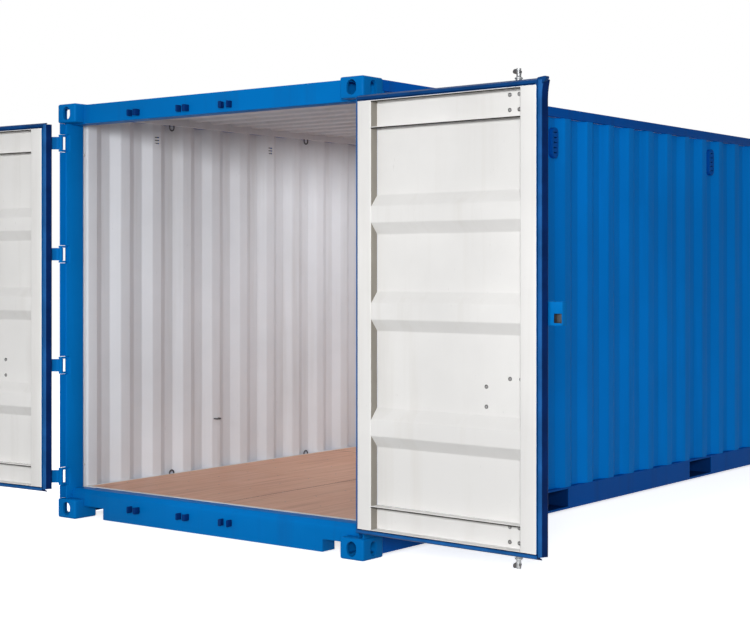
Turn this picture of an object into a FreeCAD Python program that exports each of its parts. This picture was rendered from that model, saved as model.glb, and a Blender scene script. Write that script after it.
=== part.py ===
import FreeCAD, Part
import math
import os

# A twenty foot dry freight container, empty, with both rear doors standing open.
# Millimetres. The origin is the centre of the base, level with the undersides of
# the four bottom corner castings. X runs along the length with the doors at the
# -X end, +Z is up, and the left-hand door (seen from outside) is on the +Y side.
# "depth" is a distance inwards from the plane of the end castings, and "reach" is
# a distance from the centre plane towards a side wall.

LEFT = 1
RIGHT = -1

# ---- overall ----
LENGTH = 6058.0
WIDTH = 2438.0
HEIGHT = 2591.0

# ---- corner castings ----
CASTING_LENGTH = 178.0
CASTING_WIDTH = 162.0
CASTING_HEIGHT = 118.0
CASTING_FACE_WALL = 28.0      # wall that holds the top or bottom slot
CASTING_OUTER_WALL = 16.0
CASTING_INNER_WALL = 10.0
CASTING_CORNER_RADIUS = 14.0
SLOT_LENGTH = 124.0           # top and bottom slot, long way along X
SLOT_WIDTH = 63.5
SLOT_FROM_END = 102.5
SLOT_FROM_SIDE = 89.5
END_HOLE_WIDTH = 66.0
END_HOLE_HEIGHT = 82.0
SIDE_HOLE_WIDTH = 51.0
SIDE_HOLE_HEIGHT = 79.5
SIDE_HOLE_FROM_END = 89.0

# ---- rear corner posts ----
REAR_POST_FACE_DEPTH = 55.0
REAR_POST_BACK_DEPTH = 164.0
JAMB_RECESS = 54.0            # jamb face, in from the side plane of the castings
POST_SET_IN = 6.0             # post's outer face, in from the side plane
POST_OUTER_WALL = 12.0
POST_WALL = 8.0
POST_LIP = 6.0                # thickness of the two lips in front of the post
OUTER_LIP_DEPTH = 10.0
JAMB_LIP_DEPTH = 26.0
HINGE_WINDOW = 112.0          # height of the gap in both lips at each hinge

# ---- front corner posts ----
FRONT_POST_WIDTH = 94.0
FRONT_POST_DEPTH = 100.0
FRONT_POST_WALL = 6.0

# ---- door header and sill, front header and sill ----
CROSS_FACE_DEPTH = 70.0       # front faces of door header and sill
HEADER_BOTTOM = 2466.0
ROOF_LEVEL = 2585.0
HEADER_WALL = 4.0
SILL_TOP = 178.0
SILL_BOTTOM = 5.0
SILL_NOTCH_TOP = 75.0
SILL_NOTCH_REACH = 880.0
SILL_CHAMFER = 25.0
SILL_WALL = 5.0
FRONT_SILL_TOP = 154.0
FRONT_SILL_BOTTOM = 12.0

# ---- side rails ----
RAIL_SET_IN = 12.0            # outer faces of the rails, in from the side plane
TOP_RAIL_SIZE = 60.0
TOP_RAIL_WALL = 3.0
BOTTOM_RAIL_BOTTOM = 16.0
BOTTOM_RAIL_TOP = 156.0
BOTTOM_RAIL_FLANGE = 48.0
BOTTOM_RAIL_WALL = 4.5

# ---- corrugated sheet ----
SHEET = 2.0
WALL_SET_IN = 16.0            # outer plane of a side wall, in from the side plane
WALL_PITCH = 285.0
WALL_VALLEY = 77.0
WALL_SLOPE = 68.0
WALL_DEPTH = 36.0
WALL_FIRST_VALLEY = {LEFT: 63.5, RIGHT: 128.5}    # its centre, from the wall's door end
SHEET_LAP = 4.0               # flat edge of a sheet, welded to the frame
FRONT_PITCH = 250.0
FRONT_VALLEY = 104.0
FRONT_SLOPE = 18.0
FRONT_DEPTH = 45.0
FRONT_WALL_DEPTH = 30.0
ROOF_PITCH = 209.0
ROOF_VALLEY = 90.0
ROOF_SLOPE = 14.0
ROOF_DEPTH = 20.0

# ---- floor ----
PLY_THICKNESS = 28.0
PLY_TOP = 177.0
PLY_SET_IN = 69.0             # edge of the boards, in from the side plane
PLY_JOINT = 3.0
PLY_ROWS = 2
PLY_BAYS = 5
STRIP_TOP = 179.0
STRIP_SET_IN = 56.0
THRESHOLD = 30.0
BEARER_HEIGHT = 122.0
BEARER_FLANGE = 45.0
BEARER_WALL = 4.0
BEARER_PITCH = 285.0
BEARER_CLEARANCE = 4.0

# ---- fork pockets ----
POCKET_OFFSET = 1050.0
POCKET_WIDTH = 360.0
POCKET_HEIGHT = 115.0
POCKET_WALL = 4.0
POCKET_STRAP = 200.0

# ---- side vents ----
VENT_VALLEYS = (2, 6, -6, -2)  # wall valleys that hold a vent, counted from either end
VENT_WIDTH = 76.0
VENT_BOTTOM = 2265.0
VENT_TOP = 2460.0
VENT_DEPTH = 28.0
VENT_SHELL = 3.0
VENT_LOUVRES = 5              # slots in the cover
VENT_SLITS = 3                # slots in the wall behind it
VENT_SLIT_TOP = 2440.0
VENT_SLIT_PITCH = 20.0
VENT_SLOT_WIDTH = 40.0
VENT_SLOT_HEIGHT = 7.0

# ---- lashing points ----
RING_PLACES = (-2090.0, -690.0, 690.0, 2090.0)
RING_RADIUS = 20.0
RING_ROD = 5.0
RING_LEG = 15.0
RING_SET_IN = 65.0            # rings and bars, in from the side plane
LOW_RING_SET_IN = 63.0
LOW_RING_LEG = 3.0
BAR_LEVELS = (317.0, 2284.0)
BAR_RADIUS = 7.0
BAR_SET_IN = 37.0
WALL_RING_VALLEY = 4          # counted from the doors
WALL_RING_LEVEL = 516.0

# ---- doors ----
DOOR_OPEN = 177.0             # both leaves stand this far open
LEAF_BOTTOM = 195.0
LEAF_TOP = 2438.0
LEAF_HINGE_GAP = 18.0         # leaf edge to jamb face
LEAF_MEETING_GAP = 24.0       # between the two leaves
LEAF_THICKNESS = 56.0
LEAF_FACE_DEPTH = 70.0
STILE_WIDTH = 94.0
STILE_WALL = 4.0
TOP_RAIL_HEIGHT = 143.0
FOOT_RAIL_HEIGHT = 128.0
LEAF_RIBS = (731.0, 1338.0, 1842.0)
RIB_CREST = 84.0
RIB_SLOPE = 61.0
RIB_DEPTH = 50.0
GASKET_DEPTH = 82.0
GASKET_WIDTH = 38.0
SWING_GAP = 5.0

# ---- hinges ----
HINGE_LEVELS = (255.0, 953.0, 1651.0, 2349.0)
PIN_RADIUS = 10.0
PIN_CLEARANCE = 0.3
KNUCKLE_RADIUS = 14.0         # also the pin's distance from the end and side planes
KNUCKLE_HEIGHT = 78.0
LUG_GAP = 2.0
LUG_THICKNESS = 12.0
BLADE_THICKNESS = 12.0
BLADE_LAP = 66.0
STOP_LEVEL = 2057.0
STOP_HEIGHT = 63.0

# ---- lock rods ----
LEFT_RODS = {"outer": 591.0, "inner": 175.0}
RIGHT_RODS = {"single": 168.0}
ROD_RADIUS = 16.0
ROD_WALL = 3.0
ROD_TO_LEAF = 8.0             # between a rod and the leaf behind it
ROD_CLEARANCE = 0.5
CAM_REACH = 100.0             # cam ends, past the leaf's top and bottom
CAM_SHAFT_RADIUS = 11.0
CAM_HALF_WIDTH = 22.0
CAM_THICKNESS = 12.0
CAM_HEIGHT = 28.0
CAM_END = 8.0
GUIDE_LEVELS = (264.0, 1022.0, 2366.0)
GUIDE_HEIGHT = 30.0
GUIDE_HALF_WIDTH = 26.0
GUIDE_FRONT = 6.0
FOOT_HALF_WIDTH = 55.0
END_FOOT_HEIGHT = 100.0       # foot of the highest and lowest guide
FOOT_THICKNESS = 6.0

# ---- cam keepers ----
HEADER_KEEPER_BOTTOM = 2487.0
SILL_KEEPER_BOTTOM = 76.0
KEEPER_HEIGHT = 40.0
KEEPER_INSIDE = 26.0
KEEPER_WALL = 12.0
KEEPER_FRONT_DEPTH = 28.0
KEEPER_LIP = 9.0
KEEPER_MOUTH = 15.0

# ---- handles ----
HANDLE_LEVEL = 1080.0
HANDLE_LENGTH = 340.0
HANDLE_DROP = 200.0
HANDLE_BAR = 34.0
HANDLE_THICKNESS = 10.0
HUB_RADIUS = 22.0
HUB_HEIGHT = 44.0
HUB_CLEARANCE = 0.5
CATCH_DISTANCE = 176.0
CATCH_WIDTH = 50.0
CATCH_GAP = 5.0
CATCH_FOOT = 68.0             # plate below the shelf
CATCH_SHELF = 8.0

# ---- lock box ----
LOCK_BOX_BOTTOM = 1288.0
LOCK_BOX_TOP = 1402.0
LOCK_BOX_OVERHANG = 109.0
LOCK_BOX_LAP = 60.0
LOCK_BOX_FRONT = 26.0
LOCK_BOX_WALL = 4.0
LOCK_BOX_HOLE = 40.0
LOCK_BOX_BACK_HOLE = 45.0
LOCK_BOX_HOLE_RISE = 12.0     # hole in the back, above the box's lower edge

# ---- planes worked out from the above ----
DOOR_END = -LENGTH / 2
FRONT_END = LENGTH / 2
SIDE = WIDTH / 2
CASTING_X = LENGTH / 2 - CASTING_LENGTH
CASTING_REACH = SIDE - CASTING_WIDTH
CASTING_BASE = HEIGHT - CASTING_HEIGHT
JAMB_REACH = SIDE - JAMB_RECESS
POST_REACH = SIDE - POST_SET_IN
RAIL_REACH = SIDE - RAIL_SET_IN
WALL_REACH = SIDE - WALL_SET_IN
FRONT_POST_INNER = POST_REACH - FRONT_POST_WIDTH
FRONT_POST_BACK = POST_SET_IN + FRONT_POST_DEPTH
PLY_REACH = SIDE - PLY_SET_IN
STRIP_REACH = SIDE - STRIP_SET_IN
RING_REACH = SIDE - RING_SET_IN
LOW_RING_REACH = SIDE - LOW_RING_SET_IN
BAR_REACH = SIDE - BAR_SET_IN
PLY_BOTTOM = PLY_TOP - PLY_THICKNESS
TOP_RAIL_BOTTOM = ROOF_LEVEL - TOP_RAIL_SIZE
TOP_RAIL_INNER = RAIL_REACH - TOP_RAIL_SIZE
POCKET_TOP = PLY_BOTTOM - POCKET_WALL
POCKET_BOTTOM = POCKET_TOP - POCKET_HEIGHT
RAIL_WEB_REACH = RAIL_REACH - BOTTOM_RAIL_WALL
PIN_DEPTH = KNUCKLE_RADIUS
PIN_REACH = SIDE - KNUCKLE_RADIUS
LEAF_EDGE = JAMB_REACH - LEAF_HINGE_GAP
LEAF_FREE = LEAF_MEETING_GAP / 2
LEAF_BACK = LEAF_FACE_DEPTH + LEAF_THICKNESS
ROD_DEPTH = LEAF_FACE_DEPTH - ROD_TO_LEAF - ROD_RADIUS
STILE_INNER = LEAF_EDGE - STILE_WIDTH
STILE_FREE = LEAF_FREE + STILE_WIDTH
PANEL_BOTTOM = LEAF_BOTTOM + FOOT_RAIL_HEIGHT
PANEL_TOP = LEAF_TOP - TOP_RAIL_HEIGHT


def vector(x=0.0, y=0.0, z=0.0):
    return FreeCAD.Vector(x, y, z)


UP = vector(z=1)


def block(xs, ys, zs):
    """A box between two limits on each axis, given in either order."""
    low = vector(min(xs), min(ys), min(zs))
    high = vector(max(xs), max(ys), max(zs))
    return Part.makeBox(high.x - low.x, high.y - low.y, high.z - low.z, low)


def prism(points, along):
    """A closed outline swept along a vector."""
    return Part.Face(Part.makePolygon(points + points[:1])).extrude(along)


def fused(solids):
    first, *others = solids
    return first.multiFuse(others).removeSplitter() if others else first


def mirrored(shape, side=RIGHT):
    """Pieces are made on the left and mirrored to the right."""
    return shape if side == LEFT else shape.mirror(vector(), vector(y=1))


def at_door_end(depth):
    return DOOR_END + depth


def at_front_end(depth):
    return FRONT_END - depth


def save(name, solids):
    Part.makeCompound(solids).exportStep("parts/" + name + ".step")


def centred(count, pitch):
    return [(i - (count - 1) / 2) * pitch for i in range(count)]


def wave_points(reach, centres, valley, slope, depth):
    """(run, drop) corners of a trapezoidal wave from -reach to reach, flat at its ends."""
    points = [(-reach, 0.0)]
    for centre in centres:
        first = max(centre - valley / 2 - slope, -reach + SHEET_LAP)
        points += [(first, 0.0), (centre - valley / 2, depth)]
        points += [(centre + valley / 2, depth), (centre + valley / 2 + slope, 0.0)]
    points.append((reach, 0.0))
    return points


def obround(width, height, thickness):
    """A slot along Z: width across X, height up Z, cut through along +Y, centred."""
    radius = width / 2
    straight = height - width
    parts = [block((-radius, radius), (0, thickness), (-straight / 2, straight / 2))]
    for end in (-straight / 2, straight / 2):
        parts.append(Part.makeCylinder(radius, thickness, vector(z=end), vector(y=1)))
    return fused(parts)


# ---------------------------------------------------------------- corner castings

def corner_casting():
    """The casting at the door end, left side, bottom: hollow, with three openings."""
    x_end = DOOR_END
    x_in = DOOR_END + CASTING_LENGTH
    body = block((x_end, x_in), (CASTING_REACH, SIDE), (0, CASTING_HEIGHT))
    outer = [e for e in body.Edges
             if abs(e.BoundBox.XMin - x_end) < 1 and abs(e.BoundBox.YMin - SIDE) < 1
             and e.BoundBox.ZLength > 1 and e.BoundBox.XLength < 1]
    body = body.makeFillet(CASTING_CORNER_RADIUS, outer)
    cavity = block((x_end + CASTING_OUTER_WALL, x_in - CASTING_INNER_WALL),
                   (CASTING_REACH + CASTING_INNER_WALL, SIDE - CASTING_OUTER_WALL),
                   (CASTING_FACE_WALL, CASTING_HEIGHT - CASTING_INNER_WALL))
    middle_z = CASTING_HEIGHT / 2
    slot = obround(SLOT_WIDTH, SLOT_LENGTH, CASTING_FACE_WALL)
    slot.rotate(vector(), vector(x=1), 90)
    slot.rotate(vector(), UP, 90)
    slot.translate(vector(DOOR_END + SLOT_FROM_END, SIDE - SLOT_FROM_SIDE, 0))
    end_hole = obround(END_HOLE_WIDTH, END_HOLE_HEIGHT, CASTING_OUTER_WALL)
    end_hole.rotate(vector(), UP, -90)
    end_hole.translate(vector(x_end, SIDE - CASTING_WIDTH / 2, middle_z))
    side_hole = obround(SIDE_HOLE_WIDTH, SIDE_HOLE_HEIGHT, CASTING_OUTER_WALL)
    side_hole.translate(vector(x_end + SIDE_HOLE_FROM_END, SIDE - CASTING_OUTER_WALL, middle_z))
    return body.cut([cavity, slot, end_hole, side_hole])


def castings(top):
    """Four castings of one level, mirrored from the one at the door end."""
    first = corner_casting()
    if top:
        first = first.mirror(vector(z=HEIGHT / 2), UP)
    rear = [first, mirrored(first)]
    return rear + [c.mirror(vector(), vector(x=1)) for c in rear]


# ---------------------------------------------------------------- end frames

def rear_post():
    """A closed section with two lips in front and a flange back to the side wall."""
    zs = (CASTING_HEIGHT, CASTING_BASE)
    front = at_door_end(REAR_POST_FACE_DEPTH)
    back = at_door_end(REAR_POST_BACK_DEPTH)
    tube = block((front, back), (JAMB_REACH, POST_REACH), zs)
    hollow = block((front + POST_WALL, back - POST_WALL),
                   (JAMB_REACH + POST_WALL, POST_REACH - POST_OUTER_WALL), zs)
    flange = block((back, -CASTING_X), (POST_REACH - POST_OUTER_WALL, POST_REACH), zs)
    lips = [block((at_door_end(OUTER_LIP_DEPTH), front), (POST_REACH - POST_LIP, POST_REACH), zs),
            block((at_door_end(JAMB_LIP_DEPTH), front), (JAMB_REACH, JAMB_REACH + POST_LIP), zs)]
    windows = [block((DOOR_END, front), (JAMB_REACH, POST_REACH),
                     (z - HINGE_WINDOW / 2, z + HINGE_WINDOW / 2)) for z in HINGE_LEVELS]
    return fused([tube.cut(hollow), flange] + [lip.cut(windows) for lip in lips])


def front_post():
    zs = (CASTING_HEIGHT, CASTING_BASE)
    front = at_front_end(POST_SET_IN)
    back = at_front_end(FRONT_POST_BACK)
    tube = block((front, back), (FRONT_POST_INNER, POST_REACH), zs)
    hollow = block((front - FRONT_POST_WALL, back + FRONT_POST_WALL),
                   (FRONT_POST_INNER + FRONT_POST_WALL, POST_REACH - FRONT_POST_WALL), zs)
    flange = block((back, CASTING_X), (POST_REACH - POST_OUTER_WALL, POST_REACH), zs)
    return fused([tube.cut(hollow), flange])


def door_header():
    """A box beam between the top castings, with a plate under them to the jambs."""
    xs = (at_door_end(CROSS_FACE_DEPTH), -CASTING_X)
    beam = block(xs, (-CASTING_REACH, CASTING_REACH), (HEADER_BOTTOM, ROOF_LEVEL))
    hollow = block((xs[0] + HEADER_WALL, xs[1] - HEADER_WALL),
                   (-CASTING_REACH, CASTING_REACH),
                   (CASTING_BASE, ROOF_LEVEL - HEADER_WALL))
    plate = block((xs[0], at_door_end(REAR_POST_BACK_DEPTH)),
                  (-JAMB_REACH, JAMB_REACH), (HEADER_BOTTOM, CASTING_BASE))
    return fused([beam.cut(hollow), plate])


def door_sill():
    """A pressed beam, open at the back, stepped up beside the bottom castings."""
    front = at_door_end(CROSS_FACE_DEPTH)
    back = -CASTING_X
    steps = ((SILL_NOTCH_REACH, SILL_BOTTOM), (CASTING_REACH, SILL_NOTCH_TOP),
             (JAMB_REACH, CASTING_HEIGHT))
    outer = []
    inner = []
    for reach, bottom in steps:
        far = at_door_end(REAR_POST_BACK_DEPTH) if reach == JAMB_REACH else back
        chamfered = [vector(front, -reach, bottom), vector(far, -reach, bottom),
                     vector(far, -reach, SILL_TOP),
                     vector(front + SILL_CHAMFER, -reach, SILL_TOP),
                     vector(front, -reach, SILL_TOP - SILL_CHAMFER)]
        outer.append(prism(chamfered, vector(y=2 * reach)))
        inner.append(block((front + SILL_WALL, far), (-reach + SILL_WALL, reach - SILL_WALL),
                           (bottom + SILL_WALL, SILL_TOP - SILL_CHAMFER)))
    return fused(outer).cut(fused(inner))


def front_header():
    """A box beam above the front wall and a plate back to the roof sheet."""
    front = at_front_end(POST_SET_IN)
    back = at_front_end(FRONT_POST_BACK)
    ys = (-CASTING_REACH, CASTING_REACH)
    beam = block((front, back), ys, (CASTING_BASE, ROOF_LEVEL))
    hollow = block((front - HEADER_WALL, back + HEADER_WALL), ys,
                   (CASTING_BASE + HEADER_WALL, ROOF_LEVEL - HEADER_WALL))
    plate = block((back, CASTING_X), ys, (ROOF_LEVEL - HEADER_WALL, ROOF_LEVEL))
    return fused([beam.cut(hollow), plate])


def front_sill():
    """A beam under the front wall, open at the back, stepped over the castings."""
    front = at_front_end(POST_SET_IN)
    back = at_front_end(FRONT_POST_BACK)
    outer = []
    inner = []
    for reach, bottom in ((CASTING_REACH, FRONT_SILL_BOTTOM), (FRONT_POST_INNER, CASTING_HEIGHT)):
        outer.append(block((front, back), (-reach, reach), (bottom, FRONT_SILL_TOP)))
        inner.append(block((front - HEADER_WALL, back),
                           (-reach + HEADER_WALL, reach - HEADER_WALL),
                           (bottom + HEADER_WALL, FRONT_SILL_TOP - HEADER_WALL)))
    return fused(outer).cut(fused(inner))


# ---------------------------------------------------------------- side rails

def top_side_rail():
    xs = (-CASTING_X, CASTING_X)
    tube = block(xs, (TOP_RAIL_INNER, RAIL_REACH), (TOP_RAIL_BOTTOM, ROOF_LEVEL))
    hollow = block(xs, (TOP_RAIL_INNER + TOP_RAIL_WALL, RAIL_REACH - TOP_RAIL_WALL),
                   (TOP_RAIL_BOTTOM + TOP_RAIL_WALL, ROOF_LEVEL - TOP_RAIL_WALL))
    return tube.cut(hollow)


def bottom_side_rail():
    """A channel that opens inwards, with its web cut for the fork pockets."""
    xs = (-CASTING_X, CASTING_X)
    rail = block(xs, (RAIL_REACH - BOTTOM_RAIL_FLANGE, RAIL_REACH),
                 (BOTTOM_RAIL_BOTTOM, BOTTOM_RAIL_TOP))
    cuts = [block(xs, (RAIL_REACH - BOTTOM_RAIL_FLANGE, RAIL_WEB_REACH),
                  (BOTTOM_RAIL_BOTTOM + BOTTOM_RAIL_WALL, BOTTOM_RAIL_TOP - BOTTOM_RAIL_WALL))]
    for centre in (-POCKET_OFFSET, POCKET_OFFSET):
        cuts.append(block((centre - POCKET_WIDTH / 2, centre + POCKET_WIDTH / 2),
                          (RAIL_WEB_REACH, RAIL_REACH), (POCKET_BOTTOM, POCKET_TOP)))
    return rail.cut(cuts)


# ---------------------------------------------------------------- sheets

def wall_valleys(side):
    """X of the middle of each valley of a side wall, as many as its length holds."""
    first = WALL_FIRST_VALLEY[side] - CASTING_X
    last = CASTING_X - SHEET_LAP - WALL_SLOPE - WALL_VALLEY / 2
    count = int((last - first) // WALL_PITCH) + 1
    return [first + i * WALL_PITCH for i in range(count)]


def wall_points(side):
    return wave_points(CASTING_X, wall_valleys(side), WALL_VALLEY, WALL_SLOPE, WALL_DEPTH)


def side_wall(side):
    """One corrugated sheet, with slits for air where it has vents."""
    outer = [vector(run, WALL_REACH - drop, BOTTOM_RAIL_TOP) for run, drop in wall_points(side)]
    inner = [p - vector(y=SHEET) for p in reversed(outer)]
    sheet = prism(outer + inner, vector(z=TOP_RAIL_BOTTOM - BOTTOM_RAIL_TOP))
    ys = (WALL_REACH - WALL_DEPTH - SHEET, WALL_REACH - WALL_DEPTH)
    slits = []
    for valley in VENT_VALLEYS:
        x = wall_valleys(side)[valley]
        for i in range(VENT_SLITS):
            z = VENT_SLIT_TOP - i * VENT_SLIT_PITCH
            slits.append(block((x - VENT_SLOT_WIDTH / 2, x + VENT_SLOT_WIDTH / 2), ys,
                               (z - VENT_SLOT_HEIGHT, z)))
    return mirrored(sheet.cut(slits), side)


def front_wall():
    count = int(2 * FRONT_POST_INNER // FRONT_PITCH)
    points = wave_points(FRONT_POST_INNER, centred(count, FRONT_PITCH), FRONT_VALLEY,
                         FRONT_SLOPE, FRONT_DEPTH)
    x_face = at_front_end(FRONT_WALL_DEPTH)
    outer = [vector(x_face - drop, run, FRONT_SILL_TOP) for run, drop in points]
    inner = [p - vector(x=SHEET) for p in reversed(outer)]
    return prism(outer + inner, vector(z=CASTING_BASE - FRONT_SILL_TOP))


def roof_panels():
    count = int(2 * CASTING_X // ROOF_PITCH)
    points = wave_points(CASTING_X, centred(count, ROOF_PITCH), ROOF_VALLEY,
                         ROOF_SLOPE, ROOF_DEPTH)
    outer = [vector(run, -TOP_RAIL_INNER, ROOF_LEVEL - drop) for run, drop in points]
    inner = [p - vector(z=SHEET) for p in reversed(outer)]
    return prism(outer + inner, vector(y=2 * TOP_RAIL_INNER))


# ---------------------------------------------------------------- floor

def plywood_floor():
    """Boards with an open joint between them, from the threshold to the front sill."""
    x0 = -CASTING_X + THRESHOLD
    x1 = at_front_end(FRONT_POST_BACK)
    bay = (x1 - x0 - (PLY_BAYS - 1) * PLY_JOINT) / PLY_BAYS
    row = (2 * PLY_REACH - (PLY_ROWS - 1) * PLY_JOINT) / PLY_ROWS
    boards = []
    for i in range(PLY_BAYS):
        x = x0 + i * (bay + PLY_JOINT)
        for j in range(PLY_ROWS):
            y = -PLY_REACH + j * (row + PLY_JOINT)
            boards.append(block((x, x + bay), (y, y + row), (PLY_BOTTOM, PLY_TOP)))
    return boards


def floor_edge_strips():
    """Steel edging: an angle along each wall and a threshold bar behind the sill."""
    x0 = -CASTING_X
    x1 = at_front_end(FRONT_POST_BACK)
    flange = RAIL_REACH - BOTTOM_RAIL_FLANGE
    outline = [vector(x0, PLY_REACH, PLY_BOTTOM), vector(x0, flange, PLY_BOTTOM),
               vector(x0, flange, BOTTOM_RAIL_TOP), vector(x0, STRIP_REACH, BOTTOM_RAIL_TOP),
               vector(x0, STRIP_REACH, STRIP_TOP), vector(x0, PLY_REACH, STRIP_TOP)]
    side = prism(outline, vector(x=x1 - x0))
    bar = block((x0, x0 + THRESHOLD), (-PLY_REACH, PLY_REACH), (PLY_BOTTOM, STRIP_TOP))
    return [side, mirrored(side), bar]


def floor_cross_members():
    """Channels between the side rails, left out where a fork pocket passes."""
    clear = POCKET_WIDTH / 2 + POCKET_WALL + BEARER_CLEARANCE
    count = int(2 * CASTING_X // BEARER_PITCH) - 1
    members = []
    for x in centred(count, BEARER_PITCH):
        ends = (x - BEARER_FLANGE / 2, x + BEARER_FLANGE / 2)
        if any(abs(abs(end) - POCKET_OFFSET) < clear for end in ends):
            continue
        zs = (PLY_BOTTOM - BEARER_HEIGHT, PLY_BOTTOM)
        channel = block(ends, (-RAIL_WEB_REACH, RAIL_WEB_REACH), zs)
        hollow = block((ends[0] + BEARER_WALL, ends[1]), (-RAIL_WEB_REACH, RAIL_WEB_REACH),
                       (zs[0] + BEARER_WALL, zs[1] - BEARER_WALL))
        members.append(channel.cut(hollow))
    return members


def forklift_pockets():
    """Two tunnels across the base, open below except for a strap at each end."""
    pockets = []
    for centre in (-POCKET_OFFSET, POCKET_OFFSET):
        inside = (centre - POCKET_WIDTH / 2, centre + POCKET_WIDTH / 2)
        outside = (inside[0] - POCKET_WALL, inside[1] + POCKET_WALL)
        ys = (-RAIL_WEB_REACH, RAIL_WEB_REACH)
        shell = block(outside, ys, (POCKET_BOTTOM - POCKET_WALL, PLY_BOTTOM))
        tunnel = block(inside, ys, (POCKET_BOTTOM, POCKET_TOP))
        mouth = RAIL_WEB_REACH - POCKET_STRAP
        below = block(inside, (-mouth, mouth), (POCKET_BOTTOM - POCKET_WALL, POCKET_BOTTOM))
        pockets.append(shell.cut([tunnel, below]))
    return pockets


# ---------------------------------------------------------------- small fittings

def vent_cover():
    """A round-ended shell, open to the wall, with a row of slots in its face."""
    height = VENT_TOP - VENT_BOTTOM
    shell = obround(VENT_WIDTH, height, VENT_DEPTH)
    inside = VENT_DEPTH - VENT_SHELL
    cuts = [obround(VENT_WIDTH - 2 * VENT_SHELL, height - 2 * VENT_SHELL, inside)]
    for z in centred(VENT_LOUVRES, height / (VENT_LOUVRES + 1)):
        cuts.append(block((-VENT_SLOT_WIDTH / 2, VENT_SLOT_WIDTH / 2), (inside, VENT_DEPTH),
                          (z - VENT_SLOT_HEIGHT / 2, z + VENT_SLOT_HEIGHT / 2)))
    return shell.cut(cuts)


def side_vents():
    """Covers in some valleys of the side walls, on the outside, near the top."""
    vents = []
    for side in (LEFT, RIGHT):
        for valley in VENT_VALLEYS:
            cover = vent_cover()
            cover.translate(vector(wall_valleys(side)[valley], WALL_REACH - WALL_DEPTH,
                                   (VENT_BOTTOM + VENT_TOP) / 2))
            vents.append(mirrored(cover, side))
    return vents


def ring(x, reach, z, leg, up):
    """A U of round bar in the XZ plane, from a surface at z, pointing up or down."""
    bend = Part.makeTorus(RING_RADIUS, RING_ROD, vector(x, reach, z + up * leg), vector(y=1))
    size = RING_RADIUS + RING_ROD
    keep = block((x - size, x + size), (reach - RING_ROD, reach + RING_ROD),
                 (z + up * leg, z + up * (leg + size)))
    legs = [Part.makeCylinder(RING_ROD, leg, vector(x + dx, reach, min(z, z + up * leg)), UP)
            for dx in (-RING_RADIUS, RING_RADIUS)]
    return fused([bend.common(keep)] + legs)


def lashing_rings():
    """Rings under the top rails and on the floor's edging, and one standing off each wall."""
    rings = []
    for x in RING_PLACES:
        rings.append(ring(x, RING_REACH, TOP_RAIL_BOTTOM, RING_LEG, -1))
        rings.append(ring(x, LOW_RING_REACH, STRIP_TOP, LOW_RING_LEG, 1))
    rings += [mirrored(r) for r in rings]
    for side in (LEFT, RIGHT):
        staple = ring(wall_valleys(side)[WALL_RING_VALLEY], 0, 0, RING_LEG, 1)
        staple.rotate(vector(), vector(x=1), 90)
        staple.translate(vector(y=WALL_REACH - WALL_DEPTH - SHEET, z=WALL_RING_LEVEL))
        rings.append(mirrored(staple, side))
    return rings


def lashing_bars():
    """Short level bars from the back of each door post to the wall's first slope."""
    bars = []
    sunk = (WALL_REACH - SHEET - BAR_REACH - BAR_RADIUS) / WALL_DEPTH
    x0 = at_door_end(REAR_POST_BACK_DEPTH)
    for side in (LEFT, RIGHT):
        (crest, _), (valley, _) = wall_points(side)[1:3]
        length = crest + (valley - crest) * sunk - x0
        for z in BAR_LEVELS:
            bar = Part.makeCylinder(BAR_RADIUS, length, vector(x0, BAR_REACH, z), vector(x=1))
            bars.append(mirrored(bar, side))
    return bars


def keepers(z0):
    """Pairs of lugs that hold the cam of each rod; the one nearer the middle hooks it."""
    face = at_door_end(CROSS_FACE_DEPTH)
    front = at_door_end(KEEPER_FRONT_DEPTH)
    places = [(LEFT, y) for y in LEFT_RODS.values()] + [(RIGHT, y) for y in RIGHT_RODS.values()]
    lugs = []
    for side, y in places:
        plain = block((front, face), (y + KEEPER_INSIDE, y + KEEPER_INSIDE + KEEPER_WALL),
                      (z0, z0 + KEEPER_HEIGHT))
        far = y - KEEPER_INSIDE - KEEPER_WALL
        outline = [vector(face, far, z0), vector(front, far, z0),
                   vector(front, y - KEEPER_MOUTH, z0),
                   vector(front + KEEPER_LIP, y - KEEPER_MOUTH, z0),
                   vector(front + KEEPER_LIP, y - KEEPER_INSIDE, z0),
                   vector(face, y - KEEPER_INSIDE, z0)]
        hook = prism(outline, vector(z=KEEPER_HEIGHT))
        lugs += [mirrored(plain, side), mirrored(hook, side)]
    return lugs


def post_hinge_lugs():
    """Two lugs and a pin at each hinge, standing on the face of the rear post."""
    x = at_door_end(PIN_DEPTH)
    face = at_door_end(REAR_POST_FACE_DEPTH)
    sets = []
    for z in HINGE_LEVELS:
        half = KNUCKLE_HEIGHT / 2 + LUG_GAP
        pieces = [Part.makeCylinder(PIN_RADIUS, 2 * half, vector(x, PIN_REACH, z - half), UP)]
        for z0 in (z - half - LUG_THICKNESS, z + half):
            pieces.append(Part.makeCylinder(KNUCKLE_RADIUS, LUG_THICKNESS,
                                            vector(x, PIN_REACH, z0), UP))
            reach = min(PIN_REACH + KNUCKLE_RADIUS, POST_REACH)
            pieces.append(block((x, face), (PIN_REACH - KNUCKLE_RADIUS, reach),
                                (z0, z0 + LUG_THICKNESS)))
        sets.append(fused(pieces))
    return sets


# ---------------------------------------------------------------- door leaves
# A leaf is made closed, on the left, and is turned about its hinge pins afterwards.

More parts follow.
